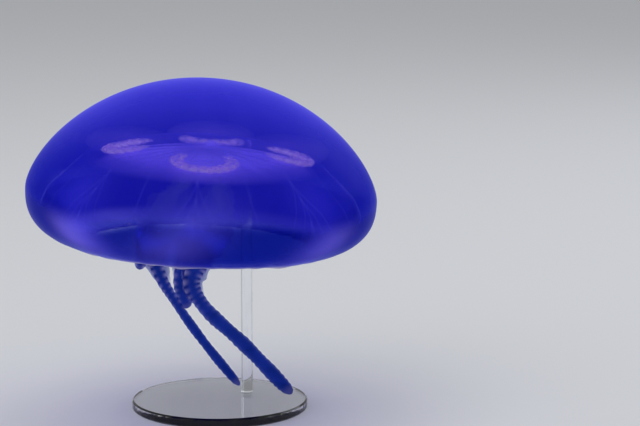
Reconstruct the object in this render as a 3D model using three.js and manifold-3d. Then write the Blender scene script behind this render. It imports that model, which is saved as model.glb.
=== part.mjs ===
// A moon jellyfish at life size, swimming with its bell half closed, held up by a plain display stand.
// Units are millimetres, +Z is up, and the origin is on the floor under the middle of the bell.
// Azimuth is measured round the bell's axis, from the front (-Y) towards the right (+X).
import * as THREE from "three";
import { mergeVertices } from "three/addons/utils/BufferGeometryUtils.js";
import Module from "manifold-3d";

const wasm = await Module();
wasm.setup();

const { degToRad, lerp, smoothstep } = THREE.MathUtils;
const QUARTER_TURN = Math.PI / 2;
const FULL_TURN = Math.PI * 2;

// ---------------------------------------------------------------- driving sizes

const GAP = 0.3; // between neighbouring pieces
const FAR = 200; // past the bell on every side, for the blocks that part it

// The bell. Its own frame has its origin at the centre of the widest ring.
const WIDEST_LEVEL = 116; // height of the widest ring above the floor
const BELL_LEAN = degToRad(3); // the bell's axis leans to the right at the top
const BELL_RADIUS = 90;
const CROWN_HEIGHT = 58.4; // top of the bell above the widest ring
const CROWN_BULGE = { radial: 0.98, height: 1.32 }; // exponents that slope the shoulders
const MARGIN_RADIUS = 61.5; // the turned-in edge round the bell's mouth
const MARGIN_DROP = 27; // the edge below the widest ring
const UNDER_BULGE = { radial: 1.15, height: 0.73 };
const MARGIN_THICKNESS = 1;

// The hollow under the bell: a low roof over the stomach, then a sloping wall.
const ROOF_HEIGHT = 29; // roof above the widest ring, on the axis
const ROOF_EDGE_RADIUS = 54;
const ROOF_FALL = 8; // how far the roof drops from the axis to its edge
const WALL_START = { radius: 62.5, height: 14.2 };
const WALL_SLOPE = 0.97;
const CORNER_BLEND = 3; // rounding between roof and wall
const HOLLOW_RADIUS = 81.3;
const HOLLOW_WIDEST = -8; // height of the hollow's widest ring
const HOLLOW_BULGE = { radial: 1.1, height: 0.9 };

// The margin is notched into eight lappets, with a sense organ in each notch.
const LAPPETS = 8;
const OCTANT = FULL_TURN / LAPPETS;
const FIRST_NOTCH = degToRad(-50);
const NOTCH = { depth: 2.5, halfAngle: degToRad(4) };
const LAPPET_TOP = -9; // where the lappets are parted from the dome
const SEGMENTS_PER_LAPPET = 6;

const ORGAN = { radius: 0.9, length: 1.6, reach: 62.6, height: -26.3 };

// Short tentacles stand on a thin comb just inside each lappet's edge.
const COMB = { radius: 60.2, halfWidth: 0.6, thickness: 0.9, height: -26.4, span: degToRad(36) };
const TENTACLES_PER_COMB = 7;
const TENTACLE = { length: 7, rise: 1.8, root: 0.8, tip: 0.5 };

// Four horseshoe gonads lie between the roof and the stomach's floor.
const GONADS = 4;
const GONAD = { reach: 39, long: 12, wide: 14, halfWidth: 4, thickness: 4.6, open: degToRad(42) };
const GONADS_ASIDE = 2.3; // their ring lies this far to the right of the bell's axis
const POCKET_DEPTH = GONAD.thickness + 2 * GAP + 0.2;
const STOMACH = { radius: 61.6, thickness: 1.6, edgeHeight: 13.9, pitRadius: 5 };

// The mouth tube hangs from the stomach's floor and has four corners.
const MOUTH = { head: 14, neck: 11, waist: 9, lip: 11, opening: 6.5, depth: 6, length: 13.6, corner: 0.2 };
const MOUTH_NECK_DROP = 4; // how far the neck and the waist lie below the head
const MOUTH_WAIST_DROP = 8;

// The stand: a disc on the floor and one rod up to the bell's roof.
const BASE = { radius: 46, thickness: 5, chamfer: 0.8, x: 8, y: 10 };
const ROD = { radius: 3, x: 22, y: 22, sides: 24 };

// ---------------------------------------------------------------- materials

const finish = (color, roughness, opacity) =>
  new THREE.MeshStandardMaterial({ color, roughness, metalness: 0, transparent: opacity < 1, opacity });
const jelly = finish(0x2c2fbe, 0.25, 0.6);
const marginJelly = finish(0x5250d0, 0.3, 0.7);
const organFlesh = finish(0xa58cc8, 0.4, 1);
const gonadFlesh = finish(0x8a6cc6, 0.5, 1);
const stomachFlesh = finish(0x4a3fd0, 0.4, 0.7);
const armFlesh = finish(0x1c2fb4, 0.4, 0.8);
const clearAcrylic = finish(0xe6eef5, 0.05, 0.35);

// ---------------------------------------------------------------- solids

/** A three.js geometry as a manifold-3d solid. */
function solidOf(geometry) {
  const bare = new THREE.BufferGeometry()
    .setAttribute("position", geometry.getAttribute("position"))
    .setIndex(geometry.index);
  const merged = mergeVertices(bare, 1e-3);
  return new wasm.Manifold(
    new wasm.Mesh({
      numProp: 3,
      vertProperties: new Float32Array(merged.attributes.position.array),
      triVerts: new Uint32Array(merged.index.array),
    }),
  );
}

/** A manifold-3d solid as a three.js geometry. */
function geometryOf(solid) {
  const mesh = solid.getMesh();
  return new THREE.BufferGeometry()
    .setAttribute("position", new THREE.BufferAttribute(mesh.vertProperties, mesh.numProp))
    .setIndex(new THREE.BufferAttribute(mesh.triVerts, 1));
}

/** An upright box from one corner to another. */
function block(low, high) {
  const size = new THREE.Vector3().subVectors(high, low);
  const middle = new THREE.Vector3().addVectors(low, high).multiplyScalar(0.5);
  return new THREE.BoxGeometry(size.x, size.y, size.z).translate(middle.x, middle.y, middle.z);
}

/** An upright cylinder from one height to another. */
function post(radius, low, high, sides) {
  return new THREE.CylinderGeometry(radius, radius, high - low, sides)
    .rotateX(QUARTER_TURN)
    .translate(0, 0, (low + high) / 2);
}

/**
 * A profile of (radius, height) points turned round Z.
 * shape(point, azimuth, place on the profile) may move each point.
 */
function turned(profile, segments, start = 0, shape = null) {
  const lathe = new THREE.LatheGeometry(profile, segments, start, FULL_TURN).rotateX(QUARTER_TURN);
  if (!shape) return lathe;
  const places = lathe.getAttribute("position");
  const point = new THREE.Vector3();
  for (let i = 0; i < places.count; i += 1) {
    point.fromBufferAttribute(places, i);
    const segment = Math.floor(i / profile.length);
    shape(point, start + (segment * FULL_TURN) / segments, i % profile.length);
    places.setXYZ(i, point.x, point.y, point.z);
  }
  return lathe;
}

/** A closed solid through a row of rings. The second half of each ring faces its first half. */
function lofted(rings) {
  const count = rings[0].length;
  const index = [];
  for (let j = 0; j + 1 < rings.length; j += 1) {
    for (let i = 0; i < count; i += 1) {
      const next = (i + 1) % count;
      const here = j * count;
      const there = here + count;
      index.push(here + i, here + next, there + next, here + i, there + next, there + i);
    }
  }
  const last = (rings.length - 1) * count;
  for (let i = 0; i + 1 < count / 2; i += 1) {
    const facing = count - 1 - i;
    index.push(i, facing, facing - 1, i, facing - 1, i + 1);
    index.push(last + i, last + facing - 1, last + facing, last + i, last + i + 1, last + facing - 1);
  }
  const geometry = new THREE.BufferGeometry().setFromPoints(rings.flat()).setIndex(index);
  return signedVolume(geometry) < 0 ? reversed(geometry) : geometry;
}

/** The volume inside a closed geometry, negative where its faces point inwards. */
function signedVolume(geometry) {
  const places = geometry.getAttribute("position");
  const corner = [new THREE.Vector3(), new THREE.Vector3(), new THREE.Vector3()];
  let total = 0;
  for (let i = 0; i < geometry.index.count; i += 3) {
    corner.forEach((c, k) => c.fromBufferAttribute(places, geometry.index.getX(i + k)));
    total += corner[0].dot(corner[1].clone().cross(corner[2])) / 6;
  }
  return total;
}

/** The same geometry with every face turned round. */
function reversed(geometry) {
  return geometry.setIndex([...geometry.index.array].reverse());
}

/** One ring of a flat strip: across it in the given steps, then back along the other face. */
function stripRing({ centre, across, normal, halfWidth, thickness, steps, lift = () => 0, thinning = 0.5 }) {
  const face = steps.map((u) => ({
    middle: centre
      .clone()
      .addScaledVector(across, u * halfWidth)
      .addScaledVector(normal, lift(u)),
    half: (thickness / 2) * (1 - thinning * u * u),
  }));
  const top = face.map(({ middle, half }) => middle.clone().addScaledVector(normal, half));
  const bottom = face.map(({ middle, half }) => middle.clone().addScaledVector(normal, -half));
  return [...top, ...bottom.reverse()];
}

/** A point of the bell's frame at an azimuth, radius and height. */
const around = (azimuth, radius, height) =>
  new THREE.Vector3(radius * Math.sin(azimuth), -radius * Math.cos(azimuth), height);

function piece(name, geometry, material) {
  const mesh = new THREE.Mesh(geometry, material);
  mesh.name = name;
  return mesh;
}

// ---------------------------------------------------------------- the bell's profile

/** Outside, from the top (0) to the widest ring (1): powers of a sine and a cosine. */
function crownPoint(share) {
  const turn = share * QUARTER_TURN;
  return new THREE.Vector2(
    BELL_RADIUS * Math.sin(turn) ** CROWN_BULGE.radial,
    CROWN_HEIGHT * Math.max(Math.cos(turn), 0) ** CROWN_BULGE.height,
  );
}

/** Outside, from the widest ring (0) to the turned-in edge (1). */
function underPoint(share) {
  const turn = share * QUARTER_TURN;
  return new THREE.Vector2(
    MARGIN_RADIUS + (BELL_RADIUS - MARGIN_RADIUS) * Math.max(Math.cos(turn), 0) ** UNDER_BULGE.radial,
    -MARGIN_DROP * Math.sin(turn) ** UNDER_BULGE.height,
  );
}

/** Inside, from the hollow's widest ring (0) to the turned-in edge (1). */
function hollowPoint(share) {
  const turn = share * QUARTER_TURN;
  const drop = MARGIN_DROP - MARGIN_THICKNESS + HOLLOW_WIDEST;
  return new THREE.Vector2(
    MARGIN_RADIUS + (HOLLOW_RADIUS - MARGIN_RADIUS) * Math.max(Math.cos(turn), 0) ** HOLLOW_BULGE.radial,
    HOLLOW_WIDEST - drop * Math.sin(turn) ** HOLLOW_BULGE.height,
  );
}

/** Height of the hollow's roof at a radius: a parabola and a cone, joined by a smooth minimum. */
function roofHeight(radius) {
  const roof = ROOF_HEIGHT - ROOF_FALL * (radius / ROOF_EDGE_RADIUS) ** 2;
  const wall = WALL_START.height - WALL_SLOPE * (radius - WALL_START.radius);
  const near = Math.max(CORNER_BLEND - Math.abs(roof - wall), 0) / CORNER_BLEND;
  return Math.min(roof, wall) - (near * near * CORNER_BLEND) / 4;
}

// ---------------------------------------------------------------- bell and lappets

/** The whole bell, with its edge drawn back at the eight notches. */
function wholeBell() {
  const crownSteps = 9;
  const edgeSteps = 5;
  const roofRadii = [78, 70, 61, 54, 42, 28, 14, 0];
  const profile = [];
  const edgeShare = []; // how much of the notch each profile point takes
  const add = (point, share) => {
    profile.push(point);
    edgeShare.push(share);
  };
  for (let i = 0; i < crownSteps; i += 1) add(crownPoint(i / crownSteps), 0);
  const notchShare = (step) => smoothstep(step / edgeSteps, 0.4, 1);
  for (let i = 0; i <= edgeSteps; i += 1) add(underPoint(i / edgeSteps), notchShare(i));
  for (let i = edgeSteps; i >= 0; i -= 1) add(hollowPoint(i / edgeSteps), notchShare(i));
  for (const radius of roofRadii) add(new THREE.Vector2(radius, roofHeight(radius)), 0);
  const notched = (point, azimuth, place) => {
    const off = Math.round((azimuth - FIRST_NOTCH) / OCTANT) * OCTANT + FIRST_NOTCH - azimuth;
    const depth = NOTCH.depth * edgeShare[place] * Math.exp(-((off / NOTCH.halfAngle) ** 2));
    const radius = Math.hypot(point.x, point.y);
    if (radius > 0) point.set(point.x * (1 + depth / radius), point.y * (1 + depth / radius), point.z);
  };
  const sides = LAPPETS * SEGMENTS_PER_LAPPET;
  return solidOf(reversed(turned(profile, sides, FIRST_NOTCH, notched)));
}

/** The dome above the lappets. */
function domeGeometry(bell) {
  const low = new THREE.Vector3(-FAR, -FAR, LAPPET_TOP + GAP / 2);
  return geometryOf(bell.intersect(solidOf(block(low, new THREE.Vector3(FAR, FAR, FAR)))));
}

/** One lappet, from the first notch to the next, with room for the sense organ at either end. */
function lappetGeometry(bell) {
  const top = LAPPET_TOP - GAP / 2;
  const first = block(new THREE.Vector3(GAP / 2, -FAR, -FAR), new THREE.Vector3(FAR, FAR, top));
  const next = block(new THREE.Vector3(-FAR, -FAR, -FAR), new THREE.Vector3(-GAP / 2, FAR, top));
  const socket = (azimuth) =>
    new THREE.CapsuleGeometry(ORGAN.radius + GAP, ORGAN.length + 2 * GAP, 1, 6)
      .translate(0, -ORGAN.reach, ORGAN.height)
      .rotateZ(azimuth);
  return geometryOf(
    bell
      .intersect(solidOf(first.rotateZ(FIRST_NOTCH)))
      .intersect(solidOf(next.rotateZ(FIRST_NOTCH + OCTANT)))
      .subtract(solidOf(socket(FIRST_NOTCH)))
      .subtract(solidOf(socket(FIRST_NOTCH + OCTANT))),
  );
}

// ---------------------------------------------------------------- sense organs and tentacles

/** A sense organ: a short club that lies along the margin's radius, at the front. */
function organGeometry() {
  return new THREE.CapsuleGeometry(ORGAN.radius, ORGAN.length, 2, 6).translate(0, -ORGAN.reach, ORGAN.height);
}

/** A comb of short tentacles, at the front: a band with tentacles that point inwards and curl up. */
function combGeometry() {
  const up = new THREE.Vector3(0, 0, 1);
  const outward = (azimuth) => around(azimuth, 1, 0);
  const band = [];
  const bandSteps = 3;
  for (let i = 0; i <= bandSteps; i += 1) {
    const azimuth = COMB.span * (i / bandSteps - 0.5);
    band.push(
      stripRing({
        centre: around(azimuth, COMB.radius, COMB.height),
        across: outward(azimuth),
        normal: up,
        halfWidth: COMB.halfWidth,
        thickness: COMB.thickness,
        steps: [-1, 1],
        thinning: 0,
      }),
    );
  }
  let comb = solidOf(lofted(band));
  for (let k = 0; k < TENTACLES_PER_COMB; k += 1) {
    const azimuth = COMB.span * ((k + 0.5) / TENTACLES_PER_COMB - 0.5);
    const side = around(azimuth + QUARTER_TURN, 1, 0);
    const rings = [0, 1].map((share) => {
      const size = lerp(TENTACLE.root, TENTACLE.tip, share);
      return stripRing({
        centre: around(azimuth, COMB.radius - TENTACLE.length * share, COMB.height + TENTACLE.rise * share),
        across: side,
        normal: up,
        halfWidth: size / 2,
        thickness: size,
        steps: [-1, 1],
        thinning: 0,
      });
    });
    comb = comb.add(solidOf(lofted(rings)));
  }
  return geometryOf(comb);
}

// ---------------------------------------------------------------- stomach, gonads and mouth

/** The middle of the gonad at an azimuth. */
const gonadCentre = (azimuth) => around(azimuth, GONAD.reach, 0).add(new THREE.Vector3(GONADS_ASIDE, 0, 0));

/** A horseshoe gonad: its open side faces the stomach's middle, and it follows the roof. */
function gonadGeometry(azimuth) {
  const steps = 11;
  const under = GAP + 0.1 + GONAD.thickness / 2;
  const forward = around(azimuth, 1, 0);
  const aside = around(azimuth + QUARTER_TURN, 1, 0);
  const centres = [];
  for (let i = 0; i <= steps; i += 1) {
    const turn = lerp(GONAD.open - Math.PI, Math.PI - GONAD.open, i / steps);
    const centre = gonadCentre(azimuth)
      .addScaledVector(forward, GONAD.long * Math.cos(turn))
      .addScaledVector(aside, GONAD.wide * Math.sin(turn));
    centres.push(centre.setZ(roofHeight(Math.hypot(centre.x, centre.y)) - under));
  }
  const rings = centres.map((centre, i) => {
    const along = new THREE.Vector3()
      .subVectors(centres[Math.min(i + 1, steps)], centres[Math.max(i - 1, 0)])
      .normalize();
    const radius = Math.hypot(centre.x, centre.y);
    const slope = (roofHeight(radius + 0.5) - roofHeight(radius - 0.5)) / radius;
    const normal = new THREE.Vector3(-slope * centre.x, -slope * centre.y, 1);
    normal.addScaledVector(along, -normal.dot(along)).normalize();
    const taper = 1 - 0.35 * Math.abs((2 * i) / steps - 1) ** 6;
    return stripRing({
      centre,
      across: new THREE.Vector3().crossVectors(along, normal),
      normal,
      halfWidth: GONAD.halfWidth * taper,
      thickness: GONAD.thickness,
      steps: [-1, -0.5, 0.5, 1],
      thinning: 0.7,
    });
  });
  return lofted(rings);
}

/** The stomach's floor: a thin disc under the gonads, with a pit under each and a hole for the rod. */
function stomachGeometry(rodInBell) {
  const radii = [0, 17, 34, 50];
  const top = radii.map((radius) => new THREE.Vector2(radius, roofHeight(radius) - POCKET_DEPTH));
  top.push(new THREE.Vector2(STOMACH.radius, STOMACH.edgeHeight));
  const bottom = top.map((point) => new THREE.Vector2(point.x, point.y - STOMACH.thickness));
  let disc = solidOf(reversed(turned([...top, ...bottom.reverse()], 36)));
  for (let k = 0; k < GONADS; k += 1) {
    const centre = gonadCentre(k * QUARTER_TURN);
    disc = disc.subtract(solidOf(post(STOMACH.pitRadius, 0, 40, 8).translate(centre.x, centre.y, 0)));
  }
  return geometryOf(disc.subtract(rodInBell));
}

/** Height of the stomach floor's underside on the bell's axis. */
const FLOOR_UNDERSIDE = ROOF_HEIGHT - POCKET_DEPTH - STOMACH.thickness;

/** The mouth tube: flared where it meets the stomach, four corners at its lip, and open below. */
function mouthGeometry() {
  const head = FLOOR_UNDERSIDE - GAP;
  const lip = head - MOUTH.length;
  const headEdge = roofHeight(MOUTH.head) - POCKET_DEPTH - STOMACH.thickness - GAP;
  const profile = [
    [0, head],
    [MOUTH.head, headEdge],
    [MOUTH.neck, head - MOUTH_NECK_DROP],
    [MOUTH.waist, head - MOUTH_WAIST_DROP],
    [MOUTH.lip, lip],
    [MOUTH.opening, lip],
    [MOUTH.opening * 0.6, lip + MOUTH.depth * 0.8],
    [0, lip + MOUTH.depth],
  ].map(([radius, height]) => new THREE.Vector2(radius, height));
  const cornered = (point, azimuth) => {
    const grow = 1 - MOUTH.corner * Math.cos(4 * azimuth);
    point.set(point.x * grow, point.y * grow, point.z);
  };
  return reversed(turned(profile, 24, 0, cornered));
}

const LIP_HEIGHT = FLOOR_UNDERSIDE - GAP - MOUTH.length;

// ---------------------------------------------------------------- oral arms

// Each arm's route is in a frame that is upright, with its origin at the centre of the bell's widest ring.
// The first point is put under its corner of the mouth.
const ARM = {
  steps: [-1, -0.4, 0.4, 1], // points across each face
  ringsPerLength: 9,
  rootThickness: 1.8,
  tailThickness: 2.6,
  edgeThinning: 0.55,
  fold: 0.35, // how far the edges are folded up, as a share of the half width
  wave: 0.28, // height of the frills, as a share of the half width
  tipShare: 0.06, // the share of the length that rounds off into the tip
};
const ARMS = [
  {
    name: "arm_front_left",
    corner: [-1, -1],
    route: [
      [-16, -12, -4],
      [-25.3, -12.5, -21],
      [-22, -11, -39.5],
      [-13.5, -9, -56],
      [0.5, -7, -77],
      [18.8, -4, -101],
    ],
    lengths: 3,
    rootWidth: 5.5,
    tailWidth: 2.4,
    frills: 11,
  },
  {
    name: "arm_front_right",
    corner: [1, -1],
    route: [
      [11.5, -9.5, -4],
      [11, -9.5, -17],
      [0, -8.5, -33],
      [-5.3, -7.7, -46],
      [0.5, -6.8, -58],
      [22.5, -5, -80],
      [46, -2, -106],
    ],
    lengths: 4,
    rootWidth: 5.5,
    tailWidth: 3.6,
    frills: 13,
  },
  {
    name: "arm_back_left",
    corner: [-1, 1],
    route: [
      [-17, 11, -4],
      [-30, 12, -21],
      [-33.3, 7, -42],
    ],
    lengths: 2,
    rootWidth: 5.5,
    tailWidth: 3,
    frills: 7,
  },
  {
    name: "arm_back_right",
    corner: [1, 1],
    route: [
      [5, 11, -7],
      [-5.5, 11.5, -27],
      [-12, 7.8, -47],
      [-8.6, 4, -62],
    ],
    lengths: 2,
    rootWidth: 5.5,
    tailWidth: 3.8,
    frills: 9,
  },
];

/** Half the width of an arm at a share of its length: wide root, narrow tail, round tip. */
function armHalfWidth(arm, share) {
  const body = lerp(arm.rootWidth, arm.tailWidth, smoothstep(share, 0.2, 0.55));
  const fromTip = Math.min((1 - share) / ARM.tipShare, 1);
  return body * Math.sqrt(Math.max(1 - (1 - fromTip) ** 2, 0.12));
}

/** One length of an arm: a strip with a keel, folded lengthwise, whose edges wave. */
function armLengthGeometry(arm, curve, from, to) {
  const rings = [];
  for (let i = 0; i <= ARM.ringsPerLength; i += 1) {
    const share = lerp(from, to, i / ARM.ringsPerLength);
    const { centre, across, normal } = armFrame(arm, curve, share);
    const halfWidth = armHalfWidth(arm, share);
    const body = lerp(ARM.rootThickness, ARM.tailThickness, smoothstep(share, 0.2, 0.6));
    const wave = ARM.wave * halfWidth * Math.sin(Math.PI * arm.frills * share);
    rings.push(
      stripRing({
        centre,
        across,
        normal,
        halfWidth,
        thickness: body * (1 - smoothstep(share, 1 - ARM.tipShare, 1 + ARM.tipShare)),
        steps: ARM.steps,
        lift: (u) => ARM.fold * halfWidth * u * u + wave * u * Math.abs(u),
        thinning: ARM.edgeThinning,
      }),
    );
  }
  return lofted(rings);
}

/** The curve of an arm from its root. */
const armCurve = (arm, root) =>
  new THREE.CatmullRomCurve3([root, ...arm.route.map((place) => new THREE.Vector3(...place))]);

/** The middle and directions of an arm at a share of its length. Its flat side turns to face the front. */
function armFrame(arm, curve, share) {
  const along = curve.getTangentAt(share);
  const atRoot = new THREE.Vector3(-arm.corner[1], arm.corner[0], 0).normalize();
  const inTail = new THREE.Vector3(0, -1, 0).cross(along).normalize();
  if (inTail.dot(atRoot) < 0) inTail.negate();
  const across = atRoot.lerp(inTail, smoothstep(share, 0.05, 0.4));
  across.addScaledVector(along, -across.dot(along)).normalize();
  const normal = new THREE.Vector3().crossVectors(along, across);
  return { centre: curve.getPointAt(share), across, normal };
}

// ---------------------------------------------------------------- the model

const jellyfish = new THREE.Group();

const bellGroup = new THREE.Group();
bellGroup.position.set(0, 0, WIDEST_LEVEL);
bellGroup.rotation.y = BELL_LEAN;
bellGroup.updateMatrixWorld(true);
jellyfish.add(bellGroup);

/** The same piece at equal turns round the bell's axis. */
function ringOf(stem, count, first, geometry, material) {
  for (let k = 0; k < count; k += 1) {
    const copy = piece(`${stem}_${k + 1}`, geometry, material);
    copy.rotation.z = first + (k * FULL_TURN) / count;
    bellGroup.add(copy);
  }
}

const bell = wholeBell();
bellGroup.add(piece("bell_dome", domeGeometry(bell), jelly));
ringOf("lappet", LAPPETS, 0, lappetGeometry(bell), marginJelly);
ringOf("sense_organ", LAPPETS, FIRST_NOTCH, organGeometry(), organFlesh);
ringOf("tentacle_comb", LAPPETS, FIRST_NOTCH + OCTANT / 2, combGeometry(), marginJelly);
for (let k = 0; k < GONADS; k += 1) {
  bellGroup.add(piece(`gonad_${k + 1}`, gonadGeometry(k * QUARTER_TURN), gonadFlesh));
}

// The rod ends just under the lowest part of the roof over it.
const ROD_REACH = Math.hypot(ROD.x, ROD.y) + 2 * ROD.radius;
const roofOverRod = roofHeight(ROD_REACH) * Math.cos(BELL_LEAN) - (ROD.x + ROD.radius) * Math.sin(BELL_LEAN);
const rodTop = WIDEST_LEVEL + roofOverRod - GAP;
const rodClearance = post(ROD.radius + GAP, 0, 2 * WIDEST_LEVEL, ROD.sides)
  .translate(ROD.x, ROD.y, 0)
  .applyMatrix4(bellGroup.matrixWorld.clone().invert());

bellGroup.add(piece("stomach", stomachGeometry(solidOf(rodClearance)), stomachFlesh));
bellGroup.add(piece("mouth", mouthGeometry(), stomachFlesh));

const armGroup = new THREE.Group();
armGroup.position.set(0, 0, WIDEST_LEVEL);
jellyfish.add(armGroup);
const CORNER_REACH = (MOUTH.lip + MOUTH.opening) / 2 / Math.SQRT2 + 1.2;
const ARM_CLEARANCE = 3.2; // room for an arm's slanting root under the lip
for (const arm of ARMS) {
  const start = new THREE.Vector3(arm.corner[0] * CORNER_REACH, arm.corner[1] * CORNER_REACH, LIP_HEIGHT)
    .applyAxisAngle(new THREE.Vector3(0, 1, 0), BELL_LEAN)
    .add(new THREE.Vector3(0, 0, -ARM_CLEARANCE));
  const curve = armCurve(arm, start);
  const inset = GAP / 2 / curve.getLength();
  for (let k = 0; k < arm.lengths; k += 1) {
    const from = k / arm.lengths + (k > 0 ? inset : 0);
    const to = (k + 1) / arm.lengths - (k + 1 < arm.lengths ? inset : 0);
    armGroup.add(piece(`${arm.name}_${k + 1}`, armLengthGeometry(arm, curve, from, to), armFlesh));
  }
}

const baseProfile = [
  [0, 0],
  [BASE.radius - BASE.chamfer, 0],
  [BASE.radius, BASE.chamfer],
  [BASE.radius, BASE.thickness - BASE.chamfer],
  [BASE.radius - BASE.chamfer, BASE.thickness],
  [0, BASE.thickness],
].map(([radius, height]) => new THREE.Vector2(radius, height));
jellyfish.add(piece("stand_base", turned(baseProfile, 48).translate(BASE.x, BASE.y, 0), clearAcrylic));
const rod = post(ROD.radius, BASE.thickness + GAP, rodTop, ROD.sides).translate(ROD.x, ROD.y, 0);
jellyfish.add(piece("stand_rod", rod, clearAcrylic));

export default jellyfish;
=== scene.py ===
import logging
import math
from dataclasses import dataclass, field
from enum import Enum

import bpy
import numpy as np
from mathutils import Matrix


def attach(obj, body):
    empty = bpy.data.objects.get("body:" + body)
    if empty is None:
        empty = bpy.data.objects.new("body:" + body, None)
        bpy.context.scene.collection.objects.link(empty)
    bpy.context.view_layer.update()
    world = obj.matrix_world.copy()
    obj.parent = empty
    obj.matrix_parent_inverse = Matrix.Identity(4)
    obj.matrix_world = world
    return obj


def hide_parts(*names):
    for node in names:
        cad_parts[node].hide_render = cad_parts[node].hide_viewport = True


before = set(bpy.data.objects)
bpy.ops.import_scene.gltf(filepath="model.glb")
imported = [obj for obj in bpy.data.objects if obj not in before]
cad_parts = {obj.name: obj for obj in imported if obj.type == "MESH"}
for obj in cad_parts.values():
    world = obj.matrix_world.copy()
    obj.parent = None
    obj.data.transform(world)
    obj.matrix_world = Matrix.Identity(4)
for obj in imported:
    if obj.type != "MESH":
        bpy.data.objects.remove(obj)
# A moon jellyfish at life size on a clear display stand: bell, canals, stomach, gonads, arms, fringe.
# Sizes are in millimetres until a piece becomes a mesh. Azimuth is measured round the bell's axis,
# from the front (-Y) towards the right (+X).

log = logging.getLogger("jellyfish")

METRE = 0.001  # metres in one millimetre
FULL_TURN = 2 * math.pi
QUARTER_TURN = math.pi / 2
UP = np.array([0, 0, 1.0])
LEVEL = np.array([1, 1, 0])  # takes the height out of a vector
Array = np.ndarray
Socket = bpy.types.NodeSocket
Tree = bpy.types.NodeTree
Material = bpy.types.Material
Colour = tuple[float, float, float]
Place = tuple[float, float, float]
Pair = tuple[float, float]  # two numbers that go together, such as a smooth step's limits
Input = Socket | float | tuple  # what a socket can be fed with


# ---------------------------------------------------------------- arrays and meshes


def eased(value: Array | float, low: float, high: float) -> Array:
    """The smooth step 3t^2 - 2t^3, where t runs from 0 at low to 1 at high."""
    t = np.clip((np.asarray(value, float) - low) / (high - low), 0.0, 1.0)
    return t * t * (3 - 2 * t)


def hump(value: Array, width: float) -> Array:
    """A bell curve: e to the power of minus the square of value / width."""
    return np.exp(-((value / width) ** 2))


def unit(vectors: Array) -> Array:
    """The vectors along the last axis, each divided by its length."""
    return vectors / np.maximum(np.linalg.norm(vectors, axis=-1, keepdims=True), 1e-9)


def circle(points: int) -> Array:
    """Even angles once round."""
    return np.linspace(0, FULL_TURN, points, endpoint=False)


def turned(azimuth: Array, middle: Array | float) -> Array:
    """The angle from middle to azimuth, within half a turn either way."""
    return (azimuth - middle + math.pi) % FULL_TURN - math.pi


def around(azimuth: Array, radius: Array | float, height: Array | float) -> Array:
    """Places round the axis: radius * sin(azimuth), -radius * cos(azimuth) and the height."""
    x, y = radius * np.sin(azimuth), -radius * np.cos(azimuth)
    return np.stack(np.broadcast_arrays(x, y, height), axis=-1)


def resampled(line: Array, shares: Array) -> Array:
    """Points of a polyline at shares of its length.

    Args:
        line: (n, d) points.
        shares: places to read, 0 at the start and 1 at the end.

    Returns:
        (len(shares), d) points, each linear between its two neighbours.
    """
    steps = np.linalg.norm(np.diff(line, axis=0), axis=1)
    reach = np.concatenate([[0.0], np.cumsum(steps)])
    return np.stack([np.interp(shares * reach[-1], reach, column) for column in line.T], axis=1)


def smooth_route(points: Array, per_span: int = 200) -> Array:
    """A centripetal Catmull-Rom curve through the points, as a dense polyline.

    Each span is a cubic whose end tangents come from its neighbours, with the root of the distance
    between points as the step. The first and last tangents come from a point mirrored past the end.

    Args:
        points: (n, d) points the curve passes through.
        per_span: points between two of them.

    Returns:
        (about n * per_span, d) points.
    """
    whole = np.vstack([2 * points[0] - points[1], points, 2 * points[-1] - points[-2]])
    step = np.linalg.norm(np.diff(whole, axis=0), axis=1) ** 0.5
    p0, p1, p2, p3 = whole[:-3], whole[1:-2], whole[2:-1], whole[3:]
    d0, d1, d2 = (step[k : len(step) - 2 + k, None] for k in range(3))
    out = ((p1 - p0) / d0 - (p2 - p0) / (d0 + d1) + (p2 - p1) / d1) * d1
    back = ((p2 - p1) / d1 - (p3 - p1) / (d1 + d2) + (p3 - p2) / d2) * d1
    square, cube = 3 * (p2 - p1) - 2 * out - back, 2 * (p1 - p2) + out + back
    t = np.linspace(0, 1, per_span, endpoint=False)[None, :, None]
    a, b, c, d = (x[:, None, :] for x in (p1, out, square, cube))
    return np.vstack([(a + b * t + c * t**2 + d * t**3).reshape(-1, points.shape[1]), points[-1:]])


def ripple(angle: Array, waves: tuple[int, ...], seed: int) -> Array:
    """A periodic ripple round a circle: a sum of sines with whole wave counts and seeded phases."""
    phases = np.random.default_rng(seed).uniform(0, FULL_TURN, len(waves))
    return sum(np.sin(n * angle + p) for n, p in zip(waves, phases, strict=True)) / math.sqrt(len(waves))


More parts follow.
